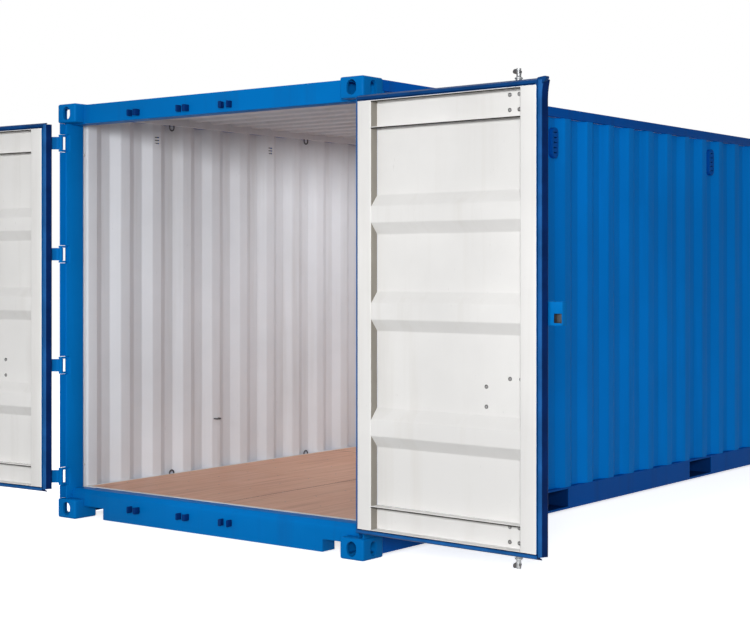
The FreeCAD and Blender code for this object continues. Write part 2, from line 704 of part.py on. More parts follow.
def leaf_frame():
    """Two hollow stiles, and channels at head and foot that open to the inside."""
    xs = (at_door_end(LEAF_FACE_DEPTH), at_door_end(LEAF_BACK))
    zs = (LEAF_BOTTOM, LEAF_TOP)
    members = []
    for y0, y1 in ((LEAF_FREE, STILE_FREE), (STILE_INNER, LEAF_EDGE)):
        tube = block(xs, (y0, y1), zs)
        hollow = block((xs[0] + STILE_WALL, xs[1] - STILE_WALL),
                       (y0 + STILE_WALL, y1 - STILE_WALL), zs)
        members.append(tube.cut(hollow))
    for z0, z1 in ((LEAF_BOTTOM, PANEL_BOTTOM), (PANEL_TOP, LEAF_TOP)):
        rail = block(xs, (STILE_FREE, STILE_INNER), (z0, z1))
        mouth = block((xs[0] + STILE_WALL, xs[1]), (STILE_FREE, STILE_INNER),
                      (z0 + STILE_WALL, z1 - STILE_WALL))
        members.append(rail.cut(mouth))
    return fused(members)


def leaf_panel():
    """A pressed sheet between the stiles, with level ribs that come inwards."""
    x = at_door_end(LEAF_FACE_DEPTH)
    outer = [vector(x, STILE_FREE, PANEL_BOTTOM)]
    for z in LEAF_RIBS:
        half = RIB_CREST / 2
        for dz, drop in ((-half - RIB_SLOPE, 0), (-half, RIB_DEPTH),
                         (half, RIB_DEPTH), (half + RIB_SLOPE, 0)):
            outer.append(vector(x + drop, STILE_FREE, z + dz))
    outer.append(vector(x, STILE_FREE, PANEL_TOP))
    inner = [p + vector(x=SHEET) for p in reversed(outer)]
    return prism(outer + inner, vector(y=STILE_INNER - STILE_FREE))


def leaf_gasket():
    """A rubber seal all round the leaf's edge, short of the frame by the swing gap."""
    xs = (at_door_end(GASKET_DEPTH), at_door_end(GASKET_DEPTH + GASKET_WIDTH))
    ring_block = block(xs, (SWING_GAP / 2, JAMB_REACH - SWING_GAP),
                       (SILL_TOP + SWING_GAP, HEADER_BOTTOM - SWING_GAP))
    return ring_block.cut(block(xs, (LEAF_FREE, LEAF_EDGE), (LEAF_BOTTOM, LEAF_TOP)))


def strap(points, thickness, z0, height):
    """A bent plate of one thickness that follows a line in plan."""
    pieces = []
    for start, end in zip(points, points[1:]):
        along = (end - start).normalize()
        across = vector(-along.y, along.x) * (thickness / 2)
        corners = [start - across, end - across, end + across, start + across]
        pieces.append(prism([c + vector(z=z0) for c in corners], vector(z=height)))
    for joint in points[1:-1]:
        pieces.append(Part.makeCylinder(thickness / 2, height, joint + vector(z=z0), UP))
    return fused(pieces)


def leaf_hinges():
    """Four blades from the pins, past the post's corner, on to the leaf's face."""
    pin = vector(at_door_end(PIN_DEPTH), PIN_REACH)
    corner = vector(at_door_end(REAR_POST_FACE_DEPTH), JAMB_REACH)
    # Half way between the post's two corners as the blade meets them shut and open.
    shut = corner - pin
    passing = pin + vector((shut.x + SIDE - PIN_REACH) / 2, -(shut.x - shut.y) / 2)
    face = at_door_end(LEAF_FACE_DEPTH) - BLADE_THICKNESS / 2
    knee = vector(face, LEAF_EDGE - BLADE_THICKNESS / 2)
    tip = vector(face, LEAF_EDGE - BLADE_LAP)
    bore_radius = PIN_RADIUS + PIN_CLEARANCE
    hinges = []
    for z in HINGE_LEVELS:
        z0 = z - KNUCKLE_HEIGHT / 2
        blade = strap([pin, passing, knee, tip], BLADE_THICKNESS, z0, KNUCKLE_HEIGHT)
        knuckle = Part.makeCylinder(KNUCKLE_RADIUS, KNUCKLE_HEIGHT, pin + vector(z=z0), UP)
        bore = Part.makeCylinder(bore_radius, KNUCKLE_HEIGHT, pin + vector(z=z0), UP)
        hinges.append(fused([blade, knuckle]).cut(bore))
    stop_y = (LEAF_EDGE - STILE_WIDTH / 2, LEAF_EDGE)
    hinges.append(block((face - BLADE_THICKNESS / 2, face + BLADE_THICKNESS / 2), stop_y,
                        (STOP_LEVEL - STOP_HEIGHT / 2, STOP_LEVEL + STOP_HEIGHT / 2)))
    return hinges


def rod_guides(y):
    """Bearing brackets that hold one rod against the leaf's outer face."""
    face = at_door_end(LEAF_FACE_DEPTH)
    axis = at_door_end(ROD_DEPTH)
    guides = []
    for z in GUIDE_LEVELS:
        z0 = z - GUIDE_HEIGHT / 2
        zs = (z0, z0 + GUIDE_HEIGHT)
        foot_half = (GUIDE_HEIGHT if z == GUIDE_LEVELS[1] else END_FOOT_HEIGHT) / 2
        saddle = block((axis, face), (y - GUIDE_HALF_WIDTH, y + GUIDE_HALF_WIDTH), zs)
        cap = Part.makeCylinder(ROD_RADIUS + GUIDE_FRONT, GUIDE_HEIGHT, vector(axis, y, z0), UP)
        foot = block((face - FOOT_THICKNESS, face), (y - FOOT_HALF_WIDTH, y + FOOT_HALF_WIDTH),
                     (z - foot_half, z + foot_half))
        bore = Part.makeCylinder(ROD_RADIUS + ROD_CLEARANCE, GUIDE_HEIGHT,
                                 vector(axis, y, z0), UP)
        guides.append(fused([saddle, cap, foot]).cut(bore))
    return guides


def handle_catch(y):
    """A shelf that a stowed handle rests on, with a plate on the leaf's face."""
    face = at_door_end(LEAF_FACE_DEPTH)
    centre = y + CATCH_DISTANCE
    level = HANDLE_LEVEL - HANDLE_DROP * CATCH_DISTANCE / HANDLE_LENGTH
    slope = math.atan2(HANDLE_DROP, HANDLE_LENGTH)
    below = HANDLE_BAR / 2 / math.cos(slope) + CATCH_GAP
    fall = math.tan(slope) * CATCH_WIDTH / 2
    ys = (centre - CATCH_WIDTH / 2, centre + CATCH_WIDTH / 2)
    shelf_top = level - below - fall
    plate = block((face - FOOT_THICKNESS, face), ys,
                  (shelf_top - CATCH_FOOT, level + below + fall))
    shelf = block((at_door_end(ROD_DEPTH - HANDLE_THICKNESS), face), ys,
                  (shelf_top - CATCH_SHELF, shelf_top))
    return fused([plate, shelf])


def lock_rod(y):
    """One tube from head to foot, with a cam at each end."""
    axis = at_door_end(ROD_DEPTH)
    z0 = LEAF_BOTTOM - CAM_REACH
    z1 = LEAF_TOP + CAM_REACH
    neck = CAM_END + CAM_HEIGHT
    tube_z = (z0 + neck, z1 - neck)
    tube = Part.makeCylinder(ROD_RADIUS, tube_z[1] - tube_z[0], vector(axis, y, tube_z[0]), UP)
    inside = Part.makeCylinder(ROD_RADIUS - ROD_WALL, tube_z[1] - tube_z[0] - 2 * neck,
                               vector(axis, y, tube_z[0] + neck), UP)
    pieces = [tube.cut(inside)]
    for low, lobe in ((z0, z0 + CAM_END), (z1 - neck, z1 - neck)):
        pieces.append(Part.makeCylinder(CAM_SHAFT_RADIUS, neck, vector(axis, y, low), UP))
        pieces.append(block((axis - CAM_THICKNESS / 2, axis + CAM_THICKNESS / 2),
                            (y - CAM_HALF_WIDTH, y + CAM_HALF_WIDTH),
                            (lobe, lobe + CAM_HEIGHT)))
    return fused(pieces)


def handle(y):
    """A clamped hub on the rod and a flat bar that drops towards the hinges."""
    axis = at_door_end(ROD_DEPTH)
    z0 = HANDLE_LEVEL - HUB_HEIGHT / 2
    hub = Part.makeCylinder(HUB_RADIUS, HUB_HEIGHT, vector(axis, y, z0), UP)
    bore = Part.makeCylinder(ROD_RADIUS + HUB_CLEARANCE, 2 * HUB_HEIGHT,
                             vector(axis, y, HANDLE_LEVEL - HUB_HEIGHT), UP)
    x0 = axis - HANDLE_THICKNESS / 2
    half = HANDLE_BAR / 2
    length = HANDLE_LENGTH / math.cos(math.atan2(HANDLE_DROP, HANDLE_LENGTH))
    bar = block((x0, x0 + HANDLE_THICKNESS), (0, length), (-half, half))
    for end in (0, length):
        bar = bar.fuse(Part.makeCylinder(half, HANDLE_THICKNESS, vector(x0, end, 0), vector(x=1)))
    bar.rotate(vector(), vector(x=1), -math.degrees(math.atan2(HANDLE_DROP, HANDLE_LENGTH)))
    bar.translate(vector(y=y, z=HANDLE_LEVEL))
    return fused([hub, bar]).cut(bore)


def lock_box():
    """A box for a padlock on the leaf's free edge, with a hole in its front and in its back."""
    front = at_door_end(LOCK_BOX_FRONT)
    back = at_door_end(LEAF_FACE_DEPTH - FOOT_THICKNESS)
    ys = (LEAF_FREE - LOCK_BOX_OVERHANG, LEAF_FREE + LOCK_BOX_LAP)
    zs = (LOCK_BOX_BOTTOM, LOCK_BOX_TOP)
    shell = block((front, back), ys, zs)
    hollow = block((front + LOCK_BOX_WALL, back),
                   (ys[0] + LOCK_BOX_WALL, ys[1] - LOCK_BOX_WALL),
                   (zs[0] + LOCK_BOX_WALL, zs[1] - LOCK_BOX_WALL))
    middle = (ys[0] + LEAF_FREE) / 2
    hole_z = zs[0] + LOCK_BOX_WALL + LOCK_BOX_HOLE / 2
    half = LOCK_BOX_HOLE / 2
    hole = block((front, front + LOCK_BOX_WALL), (middle - half, middle + half),
                 (hole_z - half, hole_z + half))
    foot = block((back, at_door_end(LEAF_FACE_DEPTH)), (LEAF_FREE, ys[1] + LOCK_BOX_WALL), zs)
    cover = block((back - LOCK_BOX_WALL, back), (ys[0], LEAF_FREE + LOCK_BOX_WALL), zs)
    hole_y = ys[0] + LOCK_BOX_WALL
    rise = zs[0] + LOCK_BOX_HOLE_RISE
    way_in = block((back - LOCK_BOX_WALL, back), (hole_y, hole_y + LOCK_BOX_BACK_HOLE),
                   (rise, rise + LOCK_BOX_BACK_HOLE))
    return fused([shell.cut([hollow, hole]), foot, cover.cut(way_in)])


def hung(shape, side):
    """A piece of a closed left leaf, put on its side and swung open on its pins."""
    piece = mirrored(shape, side).copy()
    pin = vector(at_door_end(PIN_DEPTH), side * PIN_REACH)
    piece.rotate(pin, UP, -side * DOOR_OPEN)
    return piece


# ---------------------------------------------------------------- write the parts

def frame_nodes():
    nodes = {
        "corner_castings_bottom": castings(top=False),
        "corner_castings_top": castings(top=True),
        "door_header": [door_header()],
        "door_sill": [door_sill()],
        "front_header": [front_header()],
        "front_sill": [front_sill()],
        "front_wall": [front_wall()],
        "roof_panels": [roof_panels()],
        "plywood_floor": plywood_floor(),
        "floor_edge_strips": floor_edge_strips(),
        "floor_cross_members": floor_cross_members(),
        "forklift_pockets": forklift_pockets(),
        "side_vents": side_vents(),
        "lashing_rings": lashing_rings(),
        "lashing_bars": lashing_bars(),
        "header_keepers": keepers(HEADER_KEEPER_BOTTOM),
        "sill_keepers": keepers(SILL_KEEPER_BOTTOM),
    }
    handed = {
        "rear_corner_post": [rear_post()],
        "front_corner_post": [front_post()],
        "top_side_rail": [top_side_rail()],
        "bottom_side_rail": [bottom_side_rail()],
        "post_hinges": post_hinge_lugs(),
    }
    for name, solids in handed.items():
        nodes[name + "_left"] = solids
        nodes[name + "_right"] = [mirrored(s) for s in solids]
    nodes["side_wall_left"] = [side_wall(LEFT)]
    nodes["side_wall_right"] = [side_wall(RIGHT)]
    return nodes


def door_nodes(word, side, rods):
    pieces = {
        "frame": [leaf_frame()],
        "panel": [leaf_panel()],
        "gasket": [leaf_gasket()],
        "hinges": leaf_hinges(),
        "rod_brackets": [b for y in rods.values() for b in rod_guides(y) + [handle_catch(y)]],
    }
    for place, y in rods.items():
        pieces[place + "_lock_rod"] = [lock_rod(y)]
        pieces[place + "_handle"] = [handle(y)]
    if side == RIGHT:
        pieces["lock_box"] = [lock_box()]
    return {word + "_door_" + name: [hung(s, side) for s in solids]
            for name, solids in pieces.items()}


def main():
    os.makedirs("parts", exist_ok=True)
    nodes = frame_nodes()
    nodes.update(door_nodes("left", LEFT, LEFT_RODS))
    nodes.update(door_nodes("right", RIGHT, RIGHT_RODS))
    for name, solids in nodes.items():
        save(name, solids)


main()
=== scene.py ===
import math

import bmesh
import bpy
from mathutils import Matrix, Vector, noise


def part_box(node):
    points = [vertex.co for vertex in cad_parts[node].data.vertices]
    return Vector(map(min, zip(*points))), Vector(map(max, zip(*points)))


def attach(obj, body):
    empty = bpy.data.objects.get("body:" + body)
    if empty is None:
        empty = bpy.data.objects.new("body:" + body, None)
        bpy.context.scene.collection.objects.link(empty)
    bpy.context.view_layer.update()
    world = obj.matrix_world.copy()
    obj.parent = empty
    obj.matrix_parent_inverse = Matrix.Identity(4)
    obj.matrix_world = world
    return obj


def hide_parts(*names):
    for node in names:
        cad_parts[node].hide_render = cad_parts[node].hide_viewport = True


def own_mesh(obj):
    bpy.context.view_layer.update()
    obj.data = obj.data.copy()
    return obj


# A twenty foot dry freight container with both rear doors open. Outer sizes come from the
# CAD frame; waves, stiles, ribs and rods repeat the sizes that the CAD part is built with.
# Lengths below are millimetres in the row frame, and become metres when a mesh is made.
# Door pieces are drawn for a closed left leaf, then hung open on their own side.

MM = 0.001
LEFT = 1
RIGHT = -1
WORD = {LEFT: "left", RIGHT: "right"}

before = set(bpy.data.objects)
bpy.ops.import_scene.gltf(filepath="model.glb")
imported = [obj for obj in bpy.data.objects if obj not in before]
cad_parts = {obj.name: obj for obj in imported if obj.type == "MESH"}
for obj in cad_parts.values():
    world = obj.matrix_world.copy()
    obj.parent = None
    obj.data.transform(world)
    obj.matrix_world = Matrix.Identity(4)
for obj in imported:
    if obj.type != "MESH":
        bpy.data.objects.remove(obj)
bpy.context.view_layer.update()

# ---------------------------------------------------------------- sizes from the frame


def limits(node):
    """((x0, x1), (y0, y1), (z0, z1)) of a CAD node at rest, in millimetres."""
    low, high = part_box(node)
    return tuple((low[i] / MM, high[i] / MM) for i in range(3))


DOOR_END = limits("corner_castings_bottom")[0][0]
SIDE = limits("corner_castings_bottom")[1][1]
TOP = limits("corner_castings_top")[2][1]
WALL_BOTTOM, WALL_TOP = limits("side_wall_left")[2]
WALL_X = limits("side_wall_left")[0][1]
WALL_REACH = limits("side_wall_left")[1][1]
ROOF_REACH = limits("roof_panels")[1][1]
ROOF_LEVEL = limits("roof_panels")[2][1]
FRONT_FACE = limits("front_wall")[0][1]
FRONT_REACH = limits("front_wall")[1][1]
FRONT_BOTTOM, FRONT_TOP = limits("front_wall")[2]
PLY_TOP = limits("plywood_floor")[2][1]
SEAL_BOTTOM, SEAL_TOP = limits("left_door_gasket")[2]

# How squarely a face has to look one way to count as facing it, as a share of its normal.
SQUARE_ON, FACING, LEANING, SIDEWAYS = 0.9, 0.7, 0.5, 0.35

# Behind these planes rails and posts wear the inside finish.
INNER_WALL = WALL_REACH - 20.0
INNER_FRONT = FRONT_FACE - 20.0

# ---------------------------------------------------------------- sizes of the sheets

SHEET = 2.0
LAP = 4.0
WALL_PITCH, WALL_VALLEY, WALL_SLOPE, WALL_DEPTH = 285.0, 77.0, 68.0, 36.0
WALL_FIRST = {LEFT: 63.5, RIGHT: 128.5}
WALL_WAVES = 20
FRONT_PITCH, FRONT_VALLEY, FRONT_SLOPE, FRONT_DEPTH, FRONT_WAVES = 250.0, 104.0, 18.0, 45.0, 8
ROOF_PITCH, ROOF_VALLEY, ROOF_SLOPE, ROOF_DEPTH, ROOF_WAVES = 209.0, 90.0, 14.0, 20.0, 27
WALL_BEND, FRONT_BEND, ROOF_BEND, RIB_BEND = 22.0, 14.0, 9.0, 16.0
WALL_DENT, FRONT_DENT, PANEL_DENT = 1.6, 1.4, 1.5
DENT_SCALE = 0.0021

VENTED = (2, 6, 14, 18)
SLIT_TOPS = (2440, 2420, 2400)
SLIT_HEIGHT = 7
SLIT_HALF = 20
SLIT_INWARD, SLIT_OUTWARD = 12, 8
SLIT_BAND = (2390, 2442)
SLIT_FACE_AREA = 0.0004

# ---------------------------------------------------------------- sizes of a closed left leaf

DOOR_OPEN = 177.0
PIN_DEPTH = 14.0
PIN_REACH = SIDE - 14.0
LEAF_FACE, LEAF_BACK = 70.0, 126.0
LEAF_BOTTOM, LEAF_TOP = 195.0, 2438.0
LEAF_FREE, LEAF_EDGE = 12.0, SIDE - 72.0
STILE = 94.0
STILE_WALL = 4.0
STILE_ROUND, CHANNEL_ROUND = 7.0, 3.0
RIM_AT_SIDES, RIM_AT_ENDS = 10, 3
CHANNEL_TUCK = 3
PANEL_BOTTOM, PANEL_TOP = 323.0, 2295.0
PANEL_TUCK = 2
RIBS = (731.0, 1338.0, 1842.0)
RIB_CREST, RIB_SLOPE, RIB_DEPTH = 84.0, 61.0, 50.0
RIB_END_THICKNESS, RIB_END_INSETS = 1, (2, 3)
RODS = {LEFT: {"outer": 591.0, "inner": 175.0}, RIGHT: {"single": 168.0}}
ROD_DEPTH = 46.0
ROD_BODIES = {"outer": "left_outer_rod", "inner": "left_inner_rod", "single": "right_rod"}

# Bolt heads on the web of a leaf, beside each rod: (offset from the rod, level).
GUIDE_BOLTS = [(offset, z) for z in (227, 301, 2333, 2407) for offset in (-24, 33)]
CATCH_BOLTS = [(-33, 1022), (33, 1022), (176, 977), (176, 878)]
CATCH_SINK = 2

# A seal lip's section: (depth behind the door end, share of its reach).
LIP = ((122, -0.05), (112, 0.02), (112, 0.14), (120, 0.17), (125, 0.26), (125, 0.58),
       (120, 0.70), (104, 0.84), (86, 1.0), (80, 0.95), (84, 0.80), (98, 0.60),
       (98, 0.36), (86, 0.16), (84, -0.05))
BEAD_SHARE, BEAD_DEPTH = (0.15, 0.74), 116
FREE_REACH, TOP_REACH, FOOT_REACH = 41, 36, 33
HINGE_REACH = {LEFT: 50, RIGHT: 14}
FLARE, FLARE_LENGTH = 0.3, 80
FLARE_STATIONS = (90, 60, 35, 15, 0)
LIP_ROUND = 5.0

# The moulded horn's outline from the leaf's top free corner: (y, z).
HORN = ((2, -6), (-26, -2), (-48, 16), (-57, 30), (-54, 39), (-30, 37), (-6, 34), (4, 10))
HORN_DEPTH, HORN_THICKNESS = 96, 27
HORN_ROUND = 6.0
RUBBER_SMOOTH = 50.0

# Dark strips of painted shadow under the channel edges: in from the leaf's back, under an edge,
# and half sizes of the section.
SHADOW_LINE_DEPTH, SHADOW_LINE_DROP = 5, 2.5
SHADOW_LINE_HALF, SHADOW_LINE_ROUND = (4, 3), 2.5

# Turned sections, as (radius, height).
DOME = ((11.0, 0.0), (11.0, 2.0), (9.0, 2.2), (8.4, 5.0), (6.0, 7.6), (2.5, 8.8))
SCREW = ((5.5, 0.0), (5.5, 0.35), (4.0, 0.6))
CURL = ((2.5, -5.0), (4.0, -2.0), (4.0, 2.0), (2.5, 5.0))
COLLAR = ((17, 0), (20, 1), (20, 6), (17, 7))
ROD_RADIUS, ROD_TIP_RADIUS = 16, 12
TIP_START, TIP_END, TIP_SHOULDER = 2, 42, 46
COLLAR_OVER_FOOT, COLLAR_UNDER_HEAD = 48, 54

# The dark plate inside the lock box, a padlock hasp whose dark is painted shade for the box's
# hollow, from its box's lower free corner: (near, low), (far, high), all in y and z.
HASP_SHADE_LOW, HASP_SHADE_HIGH, HASP_SHADE_ROUND = (22, 4), (86, 62), 6.0
HASP_SHADE_INSET, HASP_SHADE_THICKNESS = 17, 4

# The forged cam: (y, z) about its rod, then the curl beside it.
CAM_LOBE = ((-10, -9), (22, -14), (31, -8), (28, 8), (6, 15), (-12, 10))
CAM_HALF, CAM_ROUND = 9, 7.0
CAM_FROM_END = 22
CAM_TILT = {"head": 24, "foot": -16}
CURL_CENTRE, CURL_WIDTH, CURL_HEIGHT = (-4, -4), 7, 14
CURL_FIRST, CURL_STEP, CURL_BEADS = 70, 35, 7

# ---------------------------------------------------------------- sizes of castings and floor

CASTING_LENGTH, CASTING_WIDTH, CASTING_HEIGHT = 178, 162, 118
CASTING_WALL, CASTING_BACK, CASTING_FLOOR, CASTING_LID = 16, 10, 28, 10
CASTING_ROUND = 12
HOLE_OUT, HOLE_DEPTH, HOLE_STEPS = 5, 60, 24
HOLE_LEVEL = 59
# (distance in from the door end, distance in from the side, width across, height or length)
BOTTOM_HOLE = (102.5, 89.5, 63.5, 124)
END_HOLE = (-HOLE_OUT, 81, 66, 82)
SIDE_HOLE = (89, -HOLE_OUT, 51, 79.5)

SCREW_ROWS, SCREW_ROW_PITCH = 19, 285.0
SCREWS_ACROSS, SCREW_PITCH = 9, 270.0
SCREW_MARGIN = 30
PLY_SHEET, JOINT_HALF, JOINT_RISE = 2440.0, 2.5, 0.4

# ---------------------------------------------------------------- colours

BLUE = (0.0004, 0.150, 0.47)
WALL_BLUE = (0.0004, 0.205, 0.69)
RAIL_BLUE = (0.0005, 0.088, 0.41)
NAVY = (0.002, 0.030, 0.15)
PALE = (0.62, 0.635, 0.67)
WHITE = (0.76, 0.752, 0.74)
# The dark grey for the side of a stile that faces the panel is painted shade.
STILE_SHADE = (0.30, 0.28, 0.245)
EDGING = (0.66, 0.66, 0.65)
ZINC = (0.36, 0.37, 0.38)
DARK_ZINC_AND_SHADE = (0.10, 0.10, 0.105)
BOLT_ZINC = (0.24, 0.24, 0.24)
RUST_BROWN = (0.16, 0.10, 0.07)
# Two tones of the lip rubber: a darker one as painted shade on the flanks, a lighter one as
# painted highlight on the bead.
LIP_SHADE_BLUE = (0.001, 0.016, 0.09)
BEAD_HIGHLIGHT_BLUE = (0.012, 0.095, 0.30)
TOP_LIP_BLUE = (0.003, 0.045, 0.17)
# A dark for the floor's sealed joints, also used for the strips of painted shadow under the door
# channels.
SEALANT_AND_SHADOW = (0.045, 0.04, 0.036)
PLY_DARK, PLY_MIDDLE, PLY_LIGHT = (0.44, 0.225, 0.14), (0.56, 0.29, 0.185), (0.66, 0.37, 0.25)
PLY_KNOT, PLY_WORN = (0.34, 0.16, 0.10), (0.70, 0.47, 0.36)

# ---------------------------------------------------------------- node materials


def new_material(name):
    material = bpy.data.materials.new(name)
    material.use_nodes = True
    nodes = material.node_tree.nodes
    shader = next(n for n in nodes if n.type == "BSDF_PRINCIPLED")
    return material, nodes, material.node_tree.links, shader


def noise_node(nodes, links, scale, detail=4.0, roughness=0.55, stretch=None):
    """Noise in the piece's own coordinates, so it stays put when the piece moves."""
    place = nodes.new("ShaderNodeTexCoord")
    texture = nodes.new("ShaderNodeTexNoise")
    texture.inputs["Scale"].default_value = scale
    texture.inputs["Detail"].default_value = detail
    texture.inputs["Roughness"].default_value = roughness
    source = place.outputs["Object"]
    if stretch:
        mapping = nodes.new("ShaderNodeMapping")
        mapping.inputs["Scale"].default_value = stretch
        links.new(source, mapping.inputs["Vector"])
        source = mapping.outputs["Vector"]
    links.new(source, texture.inputs["Vector"])
    return texture


def ramp(nodes, links, source, stops):
    """The colour output of a ramp over a source, with (position, colour) stops."""
    node = nodes.new("ShaderNodeValToRGB")
    elements = node.color_ramp.elements
    while len(elements) < len(stops):
        elements.new(0.5)
    for element, (position, colour) in zip(elements, stops):
        element.position = position
        element.color = (*colour, 1.0)
    links.new(source, node.inputs["Fac"])
    return node.outputs["Color"]


def mask(nodes, links, source, start, end, strength):
    """Black up to start, then rising to a grey of this strength at end."""
    return ramp(nodes, links, source, ((start, (0.0,) * 3), (end, (strength,) * 3)))


def mix(nodes, links, factor, first, second):
    node = nodes.new("ShaderNodeMix")
    node.data_type = "RGBA"
    factor_socket, first_socket, second_socket = (node.inputs[i] for i in (0, 6, 7))
    links.new(factor, factor_socket)
    for socket, value in ((first_socket, first), (second_socket, second)):
        if isinstance(value, tuple):
            socket.default_value = (*value, 1.0)
        else:
            links.new(value, socket)
    return node.outputs[2]


def bump(nodes, links, shader, height, strength, distance):
    node = nodes.new("ShaderNodeBump")
    node.inputs["Strength"].default_value = strength
    node.inputs["Distance"].default_value = distance
    links.new(height, node.inputs["Height"])
    links.new(node.outputs["Normal"], shader.inputs["Normal"])


def mapped(nodes, links, source, given, wanted, target):
    """Feeds a socket with a source whose range is mapped from given to wanted."""
    node = nodes.new("ShaderNodeMapRange")
    for key, value in zip(("From Min", "From Max", "To Min", "To Max"), (*given, *wanted)):
        node.inputs[key].default_value = value
    links.new(source, node.inputs["Value"])
    links.new(node.outputs["Result"], target)


def spread(nodes, links, shader, texture, low, high):
    """Roughness that wanders between two values."""
    mapped(nodes, links, texture.outputs["Fac"], (0.3, 0.7), (low, high),
           shader.inputs["Roughness"])


def scaled(colour, factor):
    return tuple(min(1.0, c * factor) for c in colour)


def paint(name, colour, grime, rough=(0.34, 0.52), streak=0.25, gloss=0.02):
    """Sprayed marine paint: broad tone changes, faint runs down the face, small scuffs."""
    material, nodes, links, shader = new_material(name)
    broad = noise_node(nodes, links, 0.9, 5.0)
    tone = ramp(nodes, links, broad.outputs["Fac"],
                ((0.35, scaled(colour, 0.93)), (0.65, scaled(colour, 1.06))))
    runs = noise_node(nodes, links, 1.0, 5.0, 0.6, stretch=(9.0, 9.0, 0.55))
    run_mask = mask(nodes, links, runs.outputs["Fac"], 0.52, 0.75, streak)
    streaked = mix(nodes, links, run_mask, tone, grime)
    scuffs = noise_node(nodes, links, 38.0, 3.0, 0.7, stretch=(1.0, 1.0, 0.35))
    scuff_mask = mask(nodes, links, scuffs.outputs["Fac"], 0.70, 0.74, 0.35)
    final = mix(nodes, links, scuff_mask, streaked, scaled(colour, 0.72))
    links.new(final, shader.inputs["Base Color"])
    spread(nodes, links, shader, broad, *rough)
    shader.inputs["Specular IOR Level"].default_value = gloss
    peel = noise_node(nodes, links, 160.0, 2.0)
    bump(nodes, links, shader, peel.outputs["Fac"], 0.12, 0.0006)
    return material


def bare_steel(name, colour, rough=(0.38, 0.6), rust=0.3):
    """Zinc plated steel with a spangle and patches of brown."""
    material, nodes, links, shader = new_material(name)
    spangle = nodes.new("ShaderNodeTexVoronoi")
    place = nodes.new("ShaderNodeTexCoord")
    spangle.inputs["Scale"].default_value = 140.0
    links.new(place.outputs["Object"], spangle.inputs["Vector"])
    cells = ramp(nodes, links, spangle.outputs["Distance"],
                 ((0.0, scaled(colour, 0.82)), (1.0, scaled(colour, 1.12))))
    stain = noise_node(nodes, links, 22.0, 6.0, 0.65)
    stain_mask = mask(nodes, links, stain.outputs["Fac"], 0.55, 0.75, rust)
    final = mix(nodes, links, stain_mask, cells, RUST_BROWN)
    links.new(final, shader.inputs["Base Color"])
    shader.inputs["Metallic"].default_value = 0.85
    spread(nodes, links, shader, stain, *rough)
    bump(nodes, links, shader, stain.outputs["Fac"], 0.2, 0.0008)
    return material


def rubber(name, colour):
    """Extruded rubber or sealant, also used for painted shade, highlight and shadow: dull and
    finely grained, with dusty patches.
    """
    material, nodes, links, shader = new_material(name)
    dust = noise_node(nodes, links, 7.0, 5.0, 0.6)
    tone = ramp(nodes, links, dust.outputs["Fac"],
                ((0.4, scaled(colour, 0.85)), (0.7, scaled(colour, 1.25))))
    links.new(tone, shader.inputs["Base Color"])
    spread(nodes, links, shader, dust, 0.38, 0.55)
    shader.inputs["Specular IOR Level"].default_value = 0.05
    grain = noise_node(nodes, links, 220.0, 2.0)
    bump(nodes, links, shader, grain.outputs["Fac"], 0.15, 0.0005)
    return material


def plywood(name):
    """Sealed hardwood ply: long grain along the floor, dark knots and worn pale patches."""
    material, nodes, links, shader = new_material(name)
    grain = noise_node(nodes, links, 1.0, 8.0, 0.62, stretch=(1.3, 34.0, 34.0))
    tone = ramp(nodes, links, grain.outputs["Fac"],
                ((0.30, PLY_DARK), (0.50, PLY_MIDDLE), (0.72, PLY_LIGHT)))
    knots = noise_node(nodes, links, 3.2, 3.0, 0.5, stretch=(0.5, 2.4, 1.0))
    knot_mask = mask(nodes, links, knots.outputs["Fac"], 0.60, 0.78, 0.45)
    darker = mix(nodes, links, knot_mask, tone, PLY_KNOT)
    worn = noise_node(nodes, links, 1.4, 6.0, 0.6)
    worn_mask = mask(nodes, links, worn.outputs["Fac"], 0.48, 0.70, 0.4)
    final = mix(nodes, links, worn_mask, darker, PLY_WORN)
    links.new(final, shader.inputs["Base Color"])
    spread(nodes, links, shader, worn, 0.42, 0.62)
    bump(nodes, links, shader, grain.outputs["Fac"], 0.25, 0.0008)
    return material


M = {
    "blue": paint("blue_paint_outside", BLUE, (0.01, 0.07, 0.22)),
    "blue_wall": paint("blue_paint_walls", WALL_BLUE, (0.003, 0.11, 0.40), streak=0.3),
    "blue_rail": paint("blue_paint_rails", RAIL_BLUE, (0.01, 0.05, 0.18), streak=0.35),
    # Navy: the underframe's paint, also painted shade on the door keepers.
    "navy": paint("navy_underframe_paint_and_keeper_shade", NAVY, (0.02, 0.03, 0.06)),
    "pale": paint("grey_paint_inside", PALE, (0.42, 0.40, 0.38), (0.45, 0.62), 0.3, 0.2),
    "white": paint("pale_paint_doors", WHITE, (0.55, 0.52, 0.47), (0.40, 0.58), 0.22, 0.25),
    "steel": bare_steel("galvanised_steel", ZINC),
    # Dark fittings; the same dark is also painted shade in the slits, the vent hollows, the lock
    # box and the plate inside it.
    "dark_steel_and_shade": bare_steel("dark_fittings_and_painted_shade", DARK_ZINC_AND_SHADE, rust=0.5),
    "bolt": bare_steel("bolt_steel", BOLT_ZINC, rust=0.5),
    "rubber": rubber("blue_rubber", LIP_SHADE_BLUE),
    "rubber_painted_highlight": rubber("blue_rubber_painted_highlight", BEAD_HIGHLIGHT_BLUE),
    "top_rubber": rubber("blue_rubber_top", TOP_LIP_BLUE),
    "sealant_and_shadow": rubber("dark_sealant", SEALANT_AND_SHADOW),
    "stile_shade": paint("door_paint_painted_shade", STILE_SHADE, (0.2, 0.18, 0.15), (0.5, 0.7), 0.5),
    "plywood": plywood("sealed_plywood"),
    "edging": paint("pale_edging", EDGING, (0.42, 0.40, 0.37), (0.4, 0.6), 0.4),
}

# ---------------------------------------------------------------- mesh helpers


